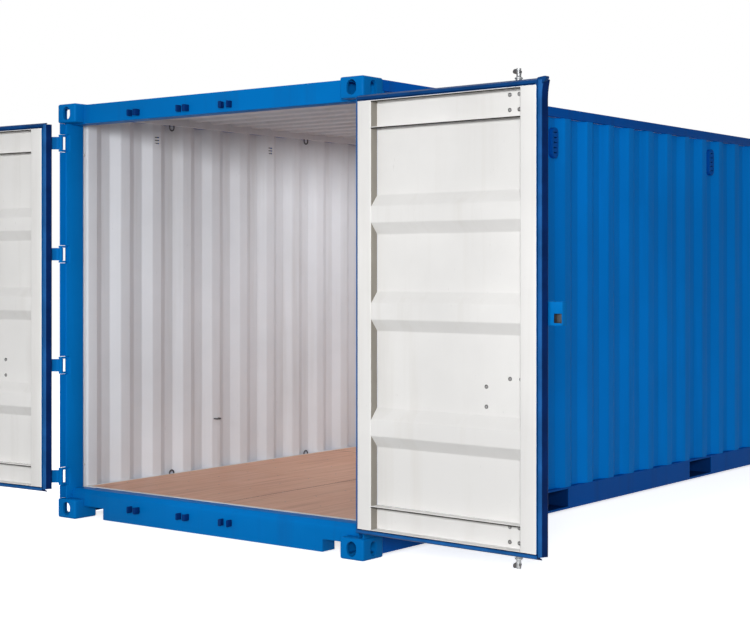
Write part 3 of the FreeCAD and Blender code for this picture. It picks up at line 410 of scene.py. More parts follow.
def placed(name, mesh):
    """A new object of the scene that shows a mesh."""
    piece = bpy.data.objects.new(name, mesh)
    bpy.context.scene.collection.objects.link(piece)
    return piece


def finished(name, work):
    """The mesh of a bmesh, which is then freed."""
    mesh = bpy.data.meshes.new(name)
    work.to_mesh(mesh)
    work.free()
    return mesh


def build(name, points, faces, materials, body, chosen=None, turn=None, swap=(),
          smooth=35.0):
    """A mesh object from points in millimetres; chosen gives each face's material index."""
    mesh = bpy.data.meshes.new(name)
    mesh.from_pydata([Vector(p) * MM for p in points], [], faces)
    for key in materials:
        mesh.materials.append(M[key])
    if chosen:
        mesh.polygons.foreach_set("material_index", chosen)
    return settle(placed(name, mesh), body, turn, swap, smooth)


def settle(piece, body, turn=None, swap=(), smooth=35.0):
    """Hangs a piece where it belongs, turns its faces outward and gives it to its body."""
    work = bmesh.new()
    work.from_mesh(piece.data)
    if turn is not None:
        work.transform(turn)
    bmesh.ops.recalc_face_normals(work, faces=work.faces)
    work.to_mesh(piece.data)
    work.free()
    if smooth:
        piece.data.polygons.foreach_set("use_smooth", [True] * len(piece.data.polygons))
        piece.data.set_sharp_from_angle(angle=math.radians(smooth))
    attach(piece, body)
    if swap:
        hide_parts(*swap)
    return piece


def hung(side):
    """Closed left leaf to open leaf on its side, in metres."""
    pin = Vector(((DOOR_END + PIN_DEPTH) * MM, side * PIN_REACH * MM, 0))
    swing = Matrix.Rotation(math.radians(-side * DOOR_OPEN), 4, "Z")
    mirror = Matrix.Diagonal((1, side, 1, 1))
    return Matrix.Translation(pin) @ swing @ Matrix.Translation(-pin) @ mirror


def arc(corner, start, end, steps):
    """Points of a soft bend from start to end that pulls towards a corner."""
    for i in range(steps + 1):
        t = i / steps
        yield tuple(start * (1 - t) ** 2 + corner * 2 * t * (1 - t) + end * t ** 2)


def rounded(points, radius, steps=5):
    """A polyline whose inner corners are replaced by arcs."""
    out = [points[0]]
    for before, corner, after in zip(points, points[1:], points[2:]):
        middle = Vector(corner)
        a, b = Vector(before) - middle, Vector(after) - middle
        turn = math.pi - a.angle(b)
        if turn < 0.02:
            out.append(corner)
            continue
        reach = min(radius * math.tan(turn / 2), a.length * 0.49, b.length * 0.49)
        out += arc(middle, middle + a.normalized() * reach, middle + b.normalized() * reach, steps)
    out.append(points[-1])
    return out


def rounded_loop(corners, radius, steps=4):
    """A closed outline in the plane with every corner rounded."""
    out = []
    for i, corner in enumerate(corners):
        middle = Vector(corner)
        a = Vector(corners[i - 1]) - middle
        b = Vector(corners[(i + 1) % len(corners)]) - middle
        reach = min(radius, a.length * 0.45, b.length * 0.45)
        out += arc(middle, middle + a.normalized() * reach, middle + b.normalized() * reach, steps)
    return out


def rectangle(low, high):
    """Corners of a rectangle between two points of a plane."""
    return [(low[0], low[1]), (high[0], low[1]), (high[0], high[1]), (low[0], high[1])]


def stations(low, high, count):
    return [low + (high - low) * i / count for i in range(count + 1)]


def centred(count, pitch):
    return [(i - (count - 1) / 2) * pitch for i in range(count)]


def joined(parts):
    """Several (points, faces) as one."""
    points, faces = [], []
    for more, their_faces in parts:
        faces.extend(tuple(i + len(points) for i in f) for f in their_faces)
        points.extend(more)
    return points, faces


def rings_mesh(points, count):
    """Points in rings of count, skinned from ring to ring, with both ends capped."""
    faces = []
    for start in range(0, len(points) - count, count):
        for i in range(count):
            j = (i + 1) % count
            faces.append((start + i, start + j, start + count + j, start + count + i))
    faces.append(tuple(range(count - 1, -1, -1)))
    faces.append(tuple(range(len(points) - count, len(points))))
    return points, faces


def loop_mesh(loop, along):
    """A closed outline of 3-D points swept along a vector, with both ends capped."""
    points = [tuple(Vector(p) + Vector(along) * k) for k in (0.0, 1.0) for p in loop]
    return rings_mesh(points, len(loop))


def turned(profile, place, axis, count=16):
    """Points and faces of a profile of (radius, height) turned about an axis."""
    axis = Vector(axis).normalized()
    first = axis.orthogonal().normalized()
    second = axis.cross(first)
    points = []
    for radius, height in profile:
        for k in range(count):
            turn = 2 * math.pi * k / count
            points.append(tuple(Vector(place) + axis * height
                                + (first * math.cos(turn) + second * math.sin(turn)) * radius))
    return rings_mesh(points, count)


def add_box(work, xs, ys, zs):
    """Adds a box between limits in millimetres to a bmesh."""
    size = Vector((xs[1] - xs[0], ys[1] - ys[0], zs[1] - zs[0])) * MM
    middle = Vector((xs[0] + xs[1], ys[0] + ys[1], zs[0] + zs[1])) * (MM / 2)
    bmesh.ops.create_cube(work, size=1.0,
                          matrix=Matrix.Translation(middle) @ Matrix.Diagonal((*size, 1)))


def apply_modifiers(piece):
    bpy.context.view_layer.update()
    evaluated = piece.evaluated_get(bpy.context.evaluated_depsgraph_get())
    mesh = bpy.data.meshes.new_from_object(evaluated)
    piece.modifiers.clear()
    piece.data = mesh


def subtract(piece, work, crossing=False):
    """Cuts a bmesh out of a piece; crossing says that parts of the cutter overlap."""
    cutter = placed("cutter", finished("cutter", work))
    cut = piece.modifiers.new("cut", "BOOLEAN")
    cut.operation = "DIFFERENCE"
    cut.solver = "EXACT"
    cut.use_self = crossing
    cut.object = cutter
    apply_modifiers(piece)
    bpy.data.objects.remove(cutter)


# ---------------------------------------------------------------- sheets


def wave(reach, centres, valley, slope, depth):
    """The CAD sheet's line: (run, drop) corners."""
    points = [(-reach, 0.0)]
    for centre in centres:
        first = max(centre - valley / 2 - slope, -reach + LAP)
        points += [(first, 0.0), (centre - valley / 2, depth)]
        points += [(centre + valley / 2, depth), (centre + valley / 2 + slope, 0.0)]
    points.append((reach, 0.0))
    return points


def sheet_mesh(line, place, spans, dent=0.0, seed=0.0):
    """Points and faces of a thin sheet: line is (run, drop), spans the stations across it.
    place(run, drop, station) gives a point. The first skin is outside, the second inside."""
    points = []
    for inner in (0, 1):
        for run, drop in line:
            for station in spans:
                spot = Vector((run * DENT_SCALE, station * DENT_SCALE, seed))
                points.append(place(run, drop + dent * noise.noise(spot) + inner * SHEET, station))
    count = len(spans)
    offset = len(line) * count
    faces, chosen = [], []
    for i in range(len(line) - 1):
        for j in range(count - 1):
            a, b = i * count + j, (i + 1) * count + j
            faces.append((a, b, b + 1, a + 1))
            faces.append((offset + a, offset + a + 1, offset + b + 1, offset + b))
            chosen += [0, 1]
    for i in range(len(line) - 1):
        for j in (0, count - 1):
            a, b = i * count + j, (i + 1) * count + j
            faces.append((a, offset + a, offset + b, b))
    for i in (0, len(line) - 1):
        for j in range(count - 1):
            a = i * count + j
            faces.append((a, a + 1, offset + a + 1, offset + a))
    chosen += [0] * (len(faces) - len(chosen))
    return points, faces, chosen


def wall_valleys(side):
    return [-WALL_X + WALL_FIRST[side] + i * WALL_PITCH for i in range(WALL_WAVES)]


def side_wall(side):
    valleys = wall_valleys(side)
    line = rounded(wave(WALL_X, valleys, WALL_VALLEY, WALL_SLOPE, WALL_DEPTH), WALL_BEND)
    points, faces, chosen = sheet_mesh(
        line, lambda run, drop, z: (run, side * (WALL_REACH - drop), z),
        stations(WALL_BOTTOM, WALL_TOP, 14), WALL_DENT, 3.0 * side)
    wall = build("corrugated_wall_" + WORD[side], points, faces, ("blue_wall", "pale"),
                 "container", chosen, swap=("side_wall_" + WORD[side],))
    valley_reach = WALL_REACH - WALL_DEPTH
    ys = sorted((side * (valley_reach - SLIT_INWARD), side * (valley_reach + SLIT_OUTWARD)))
    slits = bmesh.new()
    for x in (valleys[i] for i in VENTED):
        for z in SLIT_TOPS:
            add_box(slits, (x - SLIT_HALF, x + SLIT_HALF), ys, (z - SLIT_HEIGHT, z))
    subtract(wall, slits)
    darken_slits(wall)
    return wall


def darken_slits(wall):
    """The cut edges of the slits, which get no light, are dark."""
    wall.data.materials.append(M["dark_steel_and_shade"])
    for face in wall.data.polygons:
        in_band = SLIT_BAND[0] < face.center.z / MM < SLIT_BAND[1]
        edge_on = abs(face.normal.y) < 0.1
        if edge_on and in_band and face.area < SLIT_FACE_AREA:
            face.material_index = 2


def end_wall():
    line = rounded(wave(FRONT_REACH, centred(FRONT_WAVES, FRONT_PITCH), FRONT_VALLEY,
                        FRONT_SLOPE, FRONT_DEPTH), FRONT_BEND)
    points, faces, chosen = sheet_mesh(
        line, lambda run, drop, z: (FRONT_FACE - drop, run, z),
        stations(FRONT_BOTTOM, FRONT_TOP, 12), FRONT_DENT, 11.0)
    return build("corrugated_front_wall", points, faces, ("blue_wall", "pale"), "container",
                 chosen, swap=("front_wall",))


def roof():
    line = rounded(wave(WALL_X, centred(ROOF_WAVES, ROOF_PITCH), ROOF_VALLEY,
                        ROOF_SLOPE, ROOF_DEPTH), ROOF_BEND)
    points, faces, chosen = sheet_mesh(
        line, lambda run, drop, y: (run, y, ROOF_LEVEL - drop),
        stations(-ROOF_REACH, ROOF_REACH, 16))
    return build("corrugated_roof", points, faces, ("blue_wall", "pale"), "container",
                 chosen, swap=("roof_panels",))


# ---------------------------------------------------------------- door leaves


def leaf_frame(side):
    """Rounded hollow stiles and the channels at head and foot, open to the inside."""
    word = WORD[side]
    x0, x1 = DOOR_END + LEAF_FACE, DOOR_END + LEAF_BACK
    parts = []
    for y0 in (LEAF_FREE, LEAF_EDGE - STILE):
        outline = rounded_loop(rectangle((x0, y0), (x1, y0 + STILE)), STILE_ROUND)
        parts.append(loop_mesh([(x, y, LEAF_BOTTOM) for x, y in outline],
                               (0, 0, LEAF_TOP - LEAF_BOTTOM)))
    t = STILE_WALL
    y0, y1 = LEAF_FREE + STILE - CHANNEL_TUCK, LEAF_EDGE - STILE + CHANNEL_TUCK
    for z0, z1 in ((LEAF_BOTTOM, PANEL_BOTTOM), (PANEL_TOP, LEAF_TOP)):
        section = [(x1, z0), (x0, z0), (x0, z1), (x1, z1), (x1, z1 - t), (x0 + t, z1 - t),
                   (x0 + t, z0 + t), (x1, z0 + t)]
        outline = rounded_loop(section, CHANNEL_ROUND, 3)
        parts.append(loop_mesh([(x, y0, z) for x, z in outline], (0, y1 - y0, 0)))
    points, faces = joined(parts)
    piece = build(word + "_leaf_frame", points, faces, ("blue", "white", "stile_shade"),
                  word + "_door", swap=(word + "_door_frame",))

    def pale(middle, normal):
        """Faces that look back, and the channels' insides, but not the outer rim."""
        within = (LEAF_FREE + RIM_AT_SIDES < middle.y < LEAF_EDGE - RIM_AT_SIDES
                  and LEAF_BOTTOM + RIM_AT_ENDS < middle.z < LEAF_TOP - RIM_AT_ENDS)
        behind_face = middle.x > x0 + 1 and normal.x > -SIDEWAYS
        return normal.x > SIDEWAYS or (within and behind_face)

    two_tone(piece, pale)
    # The side of a stile that faces the panel gets a dark grey as painted shade.
    for face in piece.data.polygons:
        beside_panel = abs(face.center.y / MM - (LEAF_EDGE - STILE)) < 1
        if beside_panel and face.normal.y < -SQUARE_ON:
            face.material_index = 2
    piece.data.transform(hung(side))
    if side == RIGHT:
        piece.data.flip_normals()
    return piece


def two_tone(piece, rule):
    """Chooses the first or second material of each face by a rule on its middle and normal."""
    for face in piece.data.polygons:
        face.material_index = 1 if rule(face.center / MM, face.normal) else 0


def leaf_panel(side):
    """The pressed sheet between the stiles, with three level ribs closed at their ends."""
    word = WORD[side]
    x = DOOR_END + LEAF_FACE
    half = RIB_CREST / 2
    line = [(PANEL_BOTTOM, 0.0)]
    for z in RIBS:
        line += [(z - half - RIB_SLOPE, 0.0), (z - half, RIB_DEPTH),
                 (z + half, RIB_DEPTH), (z + half + RIB_SLOPE, 0.0)]
    line.append((PANEL_TOP, 0.0))
    y0, y1 = LEAF_FREE + STILE - PANEL_TUCK, LEAF_EDGE - STILE + PANEL_TUCK
    points, faces, chosen = sheet_mesh(
        rounded(line, RIB_BEND), lambda z, drop, y: (x + drop, y, z),
        stations(y0, y1, 12), PANEL_DENT, 31.0 + side)
    ends = []
    for z in RIBS:
        outline = [(x + 1, z - half - RIB_SLOPE), (x + RIB_DEPTH, z - half),
                   (x + RIB_DEPTH, z + half), (x + 1, z + half + RIB_SLOPE)]
        for y in (y0 + RIB_END_INSETS[0], y1 - RIB_END_INSETS[1]):
            ends.append(loop_mesh([(a, y, b) for a, b in outline], (0, RIB_END_THICKNESS, 0)))
    points, faces = joined([(points, faces)] + ends)
    chosen += [0] * (len(faces) - len(chosen))
    return build(word + "_leaf_panel", points, faces, ("blue", "white"), word + "_door",
                 chosen, hung(side), (word + "_door_panel",))


def painted_shadow_lines(side):
    """Dark strips of painted shadow run along the channel flanges, under each edge that meets the
    panel.
    """
    x = DOOR_END + LEAF_BACK - SHADOW_LINE_DEPTH
    wide, high = SHADOW_LINE_HALF
    y0, y1 = LEAF_FREE + STILE, LEAF_EDGE - STILE
    shadow_strips = []
    for edge in (LEAF_TOP - STILE_WALL, PANEL_TOP, PANEL_BOTTOM - STILE_WALL):
        z = edge - SHADOW_LINE_DROP
        outline = rectangle((x - wide, z - high), (x + wide, z + high))
        section = rounded_loop(outline, SHADOW_LINE_ROUND, 3)
        shadow_strips.append(loop_mesh([(a, y0, b) for a, b in section], (0, y1 - y0, 0)))
    points, faces = joined(shadow_strips)
    return build(WORD[side] + "_sealant", points, faces, ("sealant_and_shadow",), WORD[side] + "_door",
                 None, hung(side))


def lip_strip(side, name, point, spans, finish=("rubber", "rubber_painted_highlight")):
    """One rubber lip along an edge of the leaf. point(depth, share, station) is in the closed
    leaf; the lip stands clear of an open leaf."""
    loop = rounded_loop(LIP, LIP_ROUND, 3)
    count = len(loop)
    points, faces = rings_mesh(
        [point(DOOR_END + a, share, station) for station in spans for a, share in loop], count)
    # The bead's faces get the lighter rubber as a painted highlight; the rest keep the darker
    # rubber as painted shade.
    bead = [BEAD_SHARE[0] < share < BEAD_SHARE[1] and a > BEAD_DEPTH for a, share in loop]
    ring = [int(bead[i] and bead[(i + 1) % count]) for i in range(count)]
    word = WORD[side]
    strip = build(word + "_seal_" + name, points, faces, finish, word + "_door",
                  ring * (len(spans) - 1) + [0, 0], hung(side), (word + "_door_gasket",),
                  RUBBER_SMOOTH)
    folds(strip)


def folds(strip):
    """Gives a rubber piece its own copy of its mesh."""
    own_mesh(strip)


def seal_corner(side):
    """The moulded horn that joins the top lip to the lip on the free edge."""
    loop = rounded_loop([(LEAF_FREE + a, LEAF_TOP + b) for a, b in HORN], HORN_ROUND, 3)
    points, faces = loop_mesh([(DOOR_END + HORN_DEPTH, y, z) for y, z in loop],
                              (HORN_THICKNESS, 0, 0))
    word = WORD[side]
    horn = build(word + "_seal_corner", points, faces, ("top_rubber",), word + "_door",
                 None, hung(side), (word + "_door_gasket",), RUBBER_SMOOTH)
    folds(horn)


def leaf_seals(side):
    """Lips on the four edges of a leaf, wider than the gap they close."""
    high = SEAL_TOP
    upright = stations(SEAL_BOTTOM, high - FLARE_STATIONS[0], 8)
    upright += [high - down for down in FLARE_STATIONS[1:]]
    across = stations(LEAF_FREE - 6, LEAF_EDGE + 8, 8)

    def flared(z):
        """The free lip widens towards its top, where it meets the horn."""
        return 1 + FLARE * max(0.0, 1 - (high - z) / FLARE_LENGTH) ** 1.5

    lip_strip(side, "free",
              lambda x, share, z: (x, LEAF_FREE - FREE_REACH * share * flared(z), z),
              upright)
    lip_strip(side, "hinge", lambda x, share, z: (x, LEAF_EDGE + HINGE_REACH[side] * share, z),
              upright)
    lip_strip(side, "top", lambda x, share, y: (x, y, LEAF_TOP + TOP_REACH * share),
              across, ("top_rubber", "top_rubber"))
    lip_strip(side, "foot", lambda x, share, y: (x, y, LEAF_BOTTOM - FOOT_REACH * share),
              across)


def bolt_heads(side):
    """Domed heads, on the inner side, of the bolts that hold the rod guides and catches."""
    web = DOOR_END + LEAF_FACE + STILE_WALL
    heads = []
    for y in RODS[side].values():
        heads += [(web, y + offset, z) for offset, z in GUIDE_BOLTS]
        heads += [(web - CATCH_SINK, y + offset, z) for offset, z in CATCH_BOLTS]
    points, faces = joined([turned(DOME, head, (1, 0, 0), 12) for head in heads])
    return build(WORD[side] + "_bolt_heads", points, faces, ("bolt",), WORD[side] + "_door",
                 None, hung(side))


def lock_hasp_shade():
    """The dark plate inside the lock box that a padlock hangs on; its dark is painted shade for
    the box's hollow.
    """
    (_, back), (edge, _), (floor, _) = limits("right_door_lock_box")
    low, high = ((edge + y, floor + z) for y, z in (HASP_SHADE_LOW, HASP_SHADE_HIGH))
    outline = rounded_loop(rectangle(low, high), HASP_SHADE_ROUND, 3)
    points, faces = loop_mesh([(back - HASP_SHADE_INSET, y, z) for y, z in outline],
                              (HASP_SHADE_THICKNESS, 0, 0))
    return build("right_lock_hasp_shade", points, faces, ("dark_steel_and_shade",), "right_door")


def cam(y, z, tilt):
    """A forged cam: a thick rounded lobe towards the hinges and a curl on the other side."""
    x = DOOR_END + ROD_DEPTH
    turn = Matrix.Rotation(math.radians(tilt), 2)
    flat = [turn @ Vector(p) for p in rounded_loop(CAM_LOBE, CAM_ROUND, 3)]
    parts = [loop_mesh([(x - CAM_HALF, y + p.x, z + p.y) for p in flat], (2 * CAM_HALF, 0, 0))]
    for i in range(CURL_BEADS):
        angle = math.radians(CURL_FIRST - CURL_STEP * i)
        middle = (x, y + CURL_CENTRE[0] - CURL_WIDTH * math.cos(angle),
                  z + CURL_CENTRE[1] + CURL_HEIGHT * math.sin(angle))
        parts.append(turned(CURL, middle, (0, -math.sin(angle), -math.cos(angle)), 8))
    return parts


def lock_rod(side, place, y):
    """A tube with thinner tips, two collars and a forged cam at each end."""
    x = DOOR_END + ROD_DEPTH
    node = WORD[side] + "_door_" + place + "_lock_rod"
    foot, head = limits(node)[2]
    tips = ((ROD_TIP_RADIUS, TIP_START), (ROD_TIP_RADIUS, TIP_END), (ROD_RADIUS, TIP_SHOULDER))
    tube = [(radius, foot + rise) for radius, rise in tips]
    tube += [(radius, head - drop) for radius, drop in reversed(tips)]
    profiles = [tube]
    for z in (foot + COLLAR_OVER_FOOT, head - COLLAR_UNDER_HEAD):
        profiles.append([(radius, z + rise) for radius, rise in COLLAR])
    parts = [turned(profile, (x, y, 0), (0, 0, 1), 20) for profile in profiles]
    plain = sum(len(their_faces) for _, their_faces in parts)
    parts += cam(y, head - CAM_FROM_END, CAM_TILT["head"])
    parts += cam(y, foot + CAM_FROM_END, CAM_TILT["foot"])
    points, faces = joined(parts)
    return build(WORD[side] + "_" + place + "_rod", points, faces, ("steel", "dark_steel_and_shade"),
                 ROD_BODIES[place], [int(i >= plain) for i in range(len(faces))],
                 hung(side), (node,))


# ---------------------------------------------------------------- corner castings


def add_hole(work, centre, width, height, across, up, along):
    """Adds a round-ended prism to a cutter: width across, height up, cut along a direction."""
    radius = width / 2
    straight = height / 2 - radius
    across, up, along = Vector(across), Vector(up), Vector(along)
    ring = []
    for k in range(HOLE_STEPS):
        turn = 2 * math.pi * k / HOLE_STEPS
        lift = straight if math.sin(turn) >= 0 else -straight
        ring.append(Vector(centre) + across * radius * math.cos(turn)
                    + up * (radius * math.sin(turn) + lift))
    near = [work.verts.new(p * MM) for p in ring]
    far = [work.verts.new((p + along * HOLE_DEPTH) * MM) for p in ring]
    work.faces.new(near)
    work.faces.new(list(reversed(far)))
    for k in range(HOLE_STEPS):
        j = (k + 1) % HOLE_STEPS
        work.faces.new((near[j], near[k], far[k], far[j]))


def casting_mesh():
    """The bottom casting at the door end, left side: cast edges, hollow, three openings."""
    x0, x1 = DOOR_END, DOOR_END + CASTING_LENGTH
    y0, y1 = SIDE - CASTING_WIDTH, SIDE
    block = bmesh.new()
    add_box(block, (x0, x1), (y0, y1), (0, CASTING_HEIGHT))
    body = placed("casting", finished("casting", block))
    bevel = body.modifiers.new("cast", "BEVEL")
    bevel.width = CASTING_ROUND * MM
    bevel.segments = 4
    hollow = bmesh.new()
    add_box(hollow, (x0 + CASTING_WALL, x1 - CASTING_BACK), (y0 + CASTING_BACK, y1 - CASTING_WALL),
            (CASTING_FLOOR, CASTING_HEIGHT - CASTING_LID))
    x_way, y_way, z_way = (1, 0, 0), (0, 1, 0), (0, 0, 1)
    for hole, level, across, up, along in ((BOTTOM_HOLE, -HOLE_OUT, y_way, x_way, z_way),
                                           (END_HOLE, HOLE_LEVEL, y_way, z_way, x_way),
                                           (SIDE_HOLE, HOLE_LEVEL, x_way, z_way, (0, -1, 0))):
        from_end, from_side, width, height = hole
        centre = (x0 + from_end, SIDE - from_side, level)
        add_hole(hollow, centre, width, height, across, up, along)
    bmesh.ops.recalc_face_normals(hollow, faces=hollow.faces)
    subtract(body, hollow, crossing=True)
    shape = body.data
    bpy.data.objects.remove(body)
    return shape


def castings():
    """Mirrored copies of one casting at all eight corners, as two pieces."""
    shape = casting_mesh()
    levels = {"bottom": Matrix(), "top": Matrix.Translation((0, 0, TOP * MM))}
    for level, lift in levels.items():
        upright = -1 if level == "top" else 1
        work = bmesh.new()
        for along in (1, -1):
            for across in (1, -1):
                copy = shape.copy()
                copy.transform(lift @ Matrix.Diagonal((along, across, upright, 1)))
                work.from_mesh(copy)
        mesh = finished("corner_castings_" + level, work)
        mesh.materials.append(M["blue"])
        settle(placed("cast_corners_" + level, mesh), "container", None,
               ("corner_castings_" + level,), 40.0)


# ---------------------------------------------------------------- floor


def floor_screws():
    """Flush screw heads in rows along the floor."""
    x0, x1 = limits("plywood_floor")[0]
    heads = [(x, y, PLY_TOP) for x in centred(SCREW_ROWS, SCREW_ROW_PITCH)
             if x0 + SCREW_MARGIN < x < x1 - SCREW_MARGIN
             for y in centred(SCREWS_ACROSS, SCREW_PITCH)]
    points, faces = joined([turned(SCREW, head, (0, 0, 1), 10) for head in heads])
    return build("floor_screws", points, faces, ("bolt",), "container")


def floor_joints():
    """Sealed joints between the plywood sheets, laid two across."""
    (x0, x1), (y0, y1) = limits("plywood_floor")[:2]
    runs = [((x0, -JOINT_HALF), (x1, JOINT_HALF))]
    for x in (x0 + PLY_SHEET, x0 + 2 * PLY_SHEET):
        runs.append(((x - JOINT_HALF, y0), (x + JOINT_HALF, y1)))
    points, faces = joined([loop_mesh([(x, y, PLY_TOP) for x, y in rectangle(low, high)],
                                      (0, 0, JOINT_RISE)) for low, high in runs])
    return build("floor_joints", points, faces, ("sealant_and_shadow",), "container", smooth=0)


# ---------------------------------------------------------------- frame members from the CAD

BOX_FRONT, BOX_SKIN = 8, 6
WELD = 0.00002
FLAT_ANGLE, SHARP_ANGLE = math.radians(1.5), math.radians(40)


def faces_back(middle, normal):
    """Faces of the door end's posts and header that look into the container."""
    return normal.x > FACING and abs(middle.y) < WALL_REACH


def faces_door_end(middle, normal):
    """Faces of the front end's posts and header that look into the container."""
    inner = abs(middle.y) < FRONT_REACH + 1 and normal.x < -FACING
    beside = abs(middle.y) < WALL_REACH and normal.y * middle.y < 0
    return middle.x < INNER_FRONT and (inner or beside)


def faces_middle(middle, normal):
    """Faces of a top side rail that look inward or down, inside the wall sheet."""
    return abs(middle.y) < INNER_WALL and (normal.z < -LEANING or normal.y * middle.y < 0)


def faces_wall(middle, normal):
    """The hollow side of a vent cover, which gets a dark as painted shade."""
    return normal.y * middle.y < 0


def within_box(middle, normal):
    """The inner faces of the lock box, which get no light."""
    box = limits("right_door_lock_box")
    back = normal.x < -LEANING and middle.x > box[0][0] + BOX_FRONT
    within = all(low + BOX_SKIN < at < high - BOX_SKIN for at, (low, high) in zip(middle, box))
    return back or within


def softened(node, key, width, body="container", inside=None, second="pale", split=None):
    """A CAD piece with its edges rounded, as rolled and welded steel has them.
    inside(middle, normal) picks the faces that carry the second finish, and split is
    the (axis, place) of a plane where a face may change from one finish to the other."""
    name = node + "_rounded"
    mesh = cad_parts[node].data.copy()
    mesh.name = name
    piece = placed(name, mesh)
    work = bmesh.new()
    work.from_mesh(mesh)
    bmesh.ops.remove_doubles(work, verts=work.verts, dist=WELD)
    bmesh.ops.dissolve_limit(work, angle_limit=FLAT_ANGLE, verts=work.verts, edges=work.edges)
    if split:
        normal = Vector([int(axis == split[0]) for axis in range(3)])
        bmesh.ops.bisect_plane(work, geom=work.verts[:] + work.edges[:] + work.faces[:],
                               plane_co=normal * split[1] * MM, plane_no=normal)
    work.to_mesh(mesh)
    work.free()
    bevel = piece.modifiers.new("edges", "BEVEL")
    bevel.width = width * MM
    bevel.segments = 2
    bevel.limit_method = "ANGLE"
    bevel.angle_limit = SHARP_ANGLE
    bevel.use_clamp_overlap = True
    apply_modifiers(piece)
    piece.data.materials.clear()
    piece.data.materials.append(M[key])
    settle(piece, body, None, (node,), 30.0)
    if inside:
        piece.data.materials.append(M[second])
        two_tone(piece, inside)
    return piece


def steel_frame():
    """The frame's members; the sides that look into the container are pale."""
    softened("door_sill", "blue", 3.0)
    softened("front_sill", "blue", 3.0)
    # The hollow sides of the vent covers get the dark as painted shade.
    softened("side_vents", "blue_rail", 2.0, inside=faces_wall,
             second="dark_steel_and_shade")
    # The keepers take the navy paint as painted shade, for the dark shadows on their lugs.
    softened("header_keepers", "navy", 7.0)
    softened("sill_keepers", "navy", 7.0)
    softened("right_door_lock_box", "blue", 1.0, "right_door", within_box,
             "dark_steel_and_shade")
    for side, word in WORD.items():
        softened("rear_corner_post_" + word, "blue", 2.5, inside=faces_back)
        softened("front_corner_post_" + word, "blue", 4.0,
                 inside=faces_door_end, split=(0, INNER_FRONT))
        softened("top_side_rail_" + word, "blue_rail", 4.0,
                 inside=faces_middle, split=(1, side * INNER_WALL))
    softened("door_header", "blue", 2.0, inside=faces_back)
    softened("front_header", "blue", 3.0, inside=faces_door_end)


# ---------------------------------------------------------------- CAD pieces that stay

# (node, finish, slot)
PLAIN = [("forklift_pockets", "navy", "blue_paint"),
         ("floor_cross_members", "navy", "blue_paint"),
         ("floor_edge_strips", "edging", "edging"),
         ("plywood_floor", "plywood", "plywood"),
         ("lashing_rings", "dark_steel_and_shade", "galvanised"),
         ("lashing_bars", "edging", "galvanised")]
for word in WORD.values():
    PLAIN += [("bottom_side_rail_" + word, "blue_rail", "blue_paint"),
              ("post_hinges_" + word, "blue", "blue_paint"),
              (word + "_door_hinges", "blue", "blue_paint"),
              (word + "_door_rod_brackets", "blue", "blue_paint")]
PLAIN += [(node, "steel", "galvanised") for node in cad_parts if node.endswith("_handle")]


def plain_nodes():
    for node, key, slot in PLAIN:
        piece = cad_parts[node]
        piece.data.materials.clear()
        piece.data.materials.append(M[key])


# ---------------------------------------------------------------- stage, light, camera

FLOOR_SIZE, BACKDROP_RADIUS = 160, 75
FLOOR_GLOW, BACKDROP_GLOW = 0.72, 1.0

# (name, place, aim, size, power); the flank light draws the waves of the right side wall.
LIGHTS = (("key", (-14.0, -1.5, 3.5), (-1.0, 0.0, 1.3), (1.6, 1.6), 330),
          ("flank", (-12.5, -8.2, 3.1), (-1.0, -0.5, 1.3), (2.0, 2.0), 930),
          ("back", (13.0, 6.0, 5.0), (0.0, 0.0, 1.2), (4.0, 4.0), 900),
          ("top", (0.0, 2.0, 9.0), (0.0, 0.0, 2.5), (7.0, 5.0), 300),
          ("inside", (0.9, 0.0, 2.5), (0.9, 0.001, 0.0), (4.2, 1.4), 40),
          ("doorway", (-3.5, 0.0, 1.3), (0.0, 0.0, 1.3), (2.0, 2.1), 4))
WORLD_GLOW = (0.20, 0.31)
WORLD_BAND = (-0.3, 0.1)

LENS, SENSOR = 73.8, 36.0
SHIFT_UP = -0.068
CAMERA_PLACE = (-9.468, -6.257, 1.558)
CAMERA_HEADING = 37.6


def glowing(piece, name, base, glow):
    """Names a piece of the stage and gives it a white glow; returns its shader."""
    piece.name = name
    material, _, _, shader = new_material(name)
    shader.inputs["Base Color"].default_value = (base, base, base, 1)
    shader.inputs["Emission Color"].default_value = (1, 1, 1, 1)
    shader.inputs["Emission Strength"].default_value = glow
    piece.data.materials.append(material)
    return shader


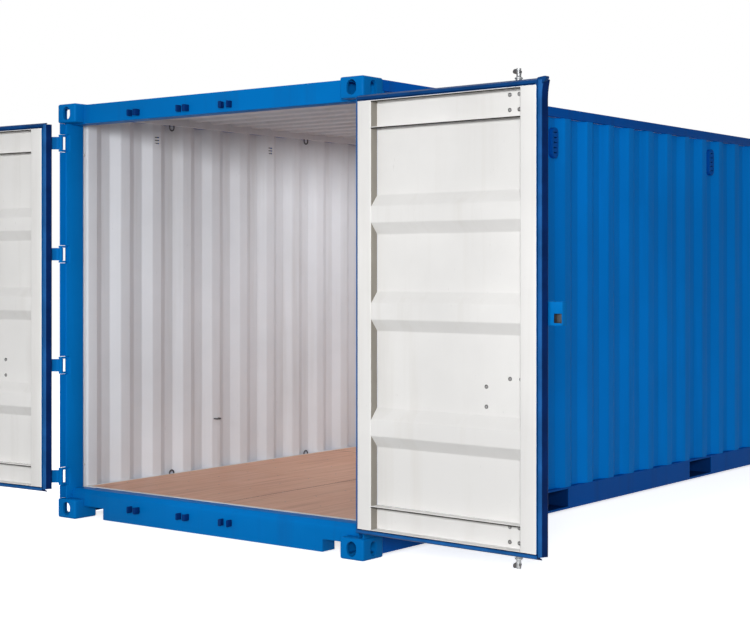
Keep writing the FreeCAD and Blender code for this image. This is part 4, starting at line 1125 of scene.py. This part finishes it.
def stage():
    """A pale floor, and a white backdrop that only the camera sees."""
    bpy.ops.mesh.primitive_plane_add(size=FLOOR_SIZE)
    floor = bpy.context.object
    shader = glowing(floor, "studio_floor", 0.97, FLOOR_GLOW)
    shader.inputs["Roughness"].default_value = 0.9
    floor.visible_diffuse = False
    bpy.ops.mesh.primitive_uv_sphere_add(segments=48, ring_count=24, radius=BACKDROP_RADIUS)
    backdrop = bpy.context.object
    shader = glowing(backdrop, "studio_backdrop", 0, BACKDROP_GLOW)
    shader.inputs["Specular IOR Level"].default_value = 0.0
    for kind in ("diffuse", "glossy", "transmission", "shadow"):
        setattr(backdrop, "visible_" + kind, False)


def light(name, place, aim, size, power):
    """A soft box that lights the scene and isn't seen itself."""
    data = bpy.data.lights.new(name, "AREA")
    data.shape = "RECTANGLE"
    data.size, data.size_y = size
    data.energy = power
    lamp = placed(name, data)
    lamp.location = place
    lamp.rotation_euler = (Vector(aim) - Vector(place)).to_track_quat("-Z", "Y").to_euler()
    lamp.visible_camera = False


def lighting():
    """A white world that is dimmer below the horizon, and the soft boxes."""
    world = bpy.data.worlds.new("studio")
    bpy.context.scene.world = world
    world.use_nodes = True
    nodes, links = world.node_tree.nodes, world.node_tree.links
    background = next(n for n in nodes if n.type == "BACKGROUND")
    background.inputs["Color"].default_value = (1.0, 1.0, 1.0, 1)
    place = nodes.new("ShaderNodeTexCoord")
    split = nodes.new("ShaderNodeSeparateXYZ")
    links.new(place.outputs["Generated"], split.inputs["Vector"])
    mapped(nodes, links, split.outputs["Z"], WORLD_BAND, WORLD_GLOW,
           background.inputs["Strength"])
    for row in LIGHTS:
        light(*row)


def camera():
    data = bpy.data.cameras.new("camera")
    data.lens = LENS
    data.sensor_width = SENSOR
    data.sensor_fit = "HORIZONTAL"
    data.shift_y = SHIFT_UP
    data.clip_end = 200.0
    cam_object = placed("camera", data)
    cam_object.location = CAMERA_PLACE
    cam_object.rotation_euler = (math.radians(90), 0, math.radians(CAMERA_HEADING - 90))
    bpy.context.scene.camera = cam_object


for hand in (LEFT, RIGHT):
    side_wall(hand)
end_wall()
roof()
for hand in (LEFT, RIGHT):
    leaf_frame(hand)
    leaf_panel(hand)
    leaf_seals(hand)
    seal_corner(hand)
    painted_shadow_lines(hand)
    bolt_heads(hand)
    for rod_name, reach in RODS[hand].items():
        lock_rod(hand, rod_name, reach)
lock_hasp_shade()
castings()
floor_screws()
floor_joints()
steel_frame()
plain_nodes()
stage()
lighting()
camera()
bpy.context.scene.view_settings.view_transform = "Standard"
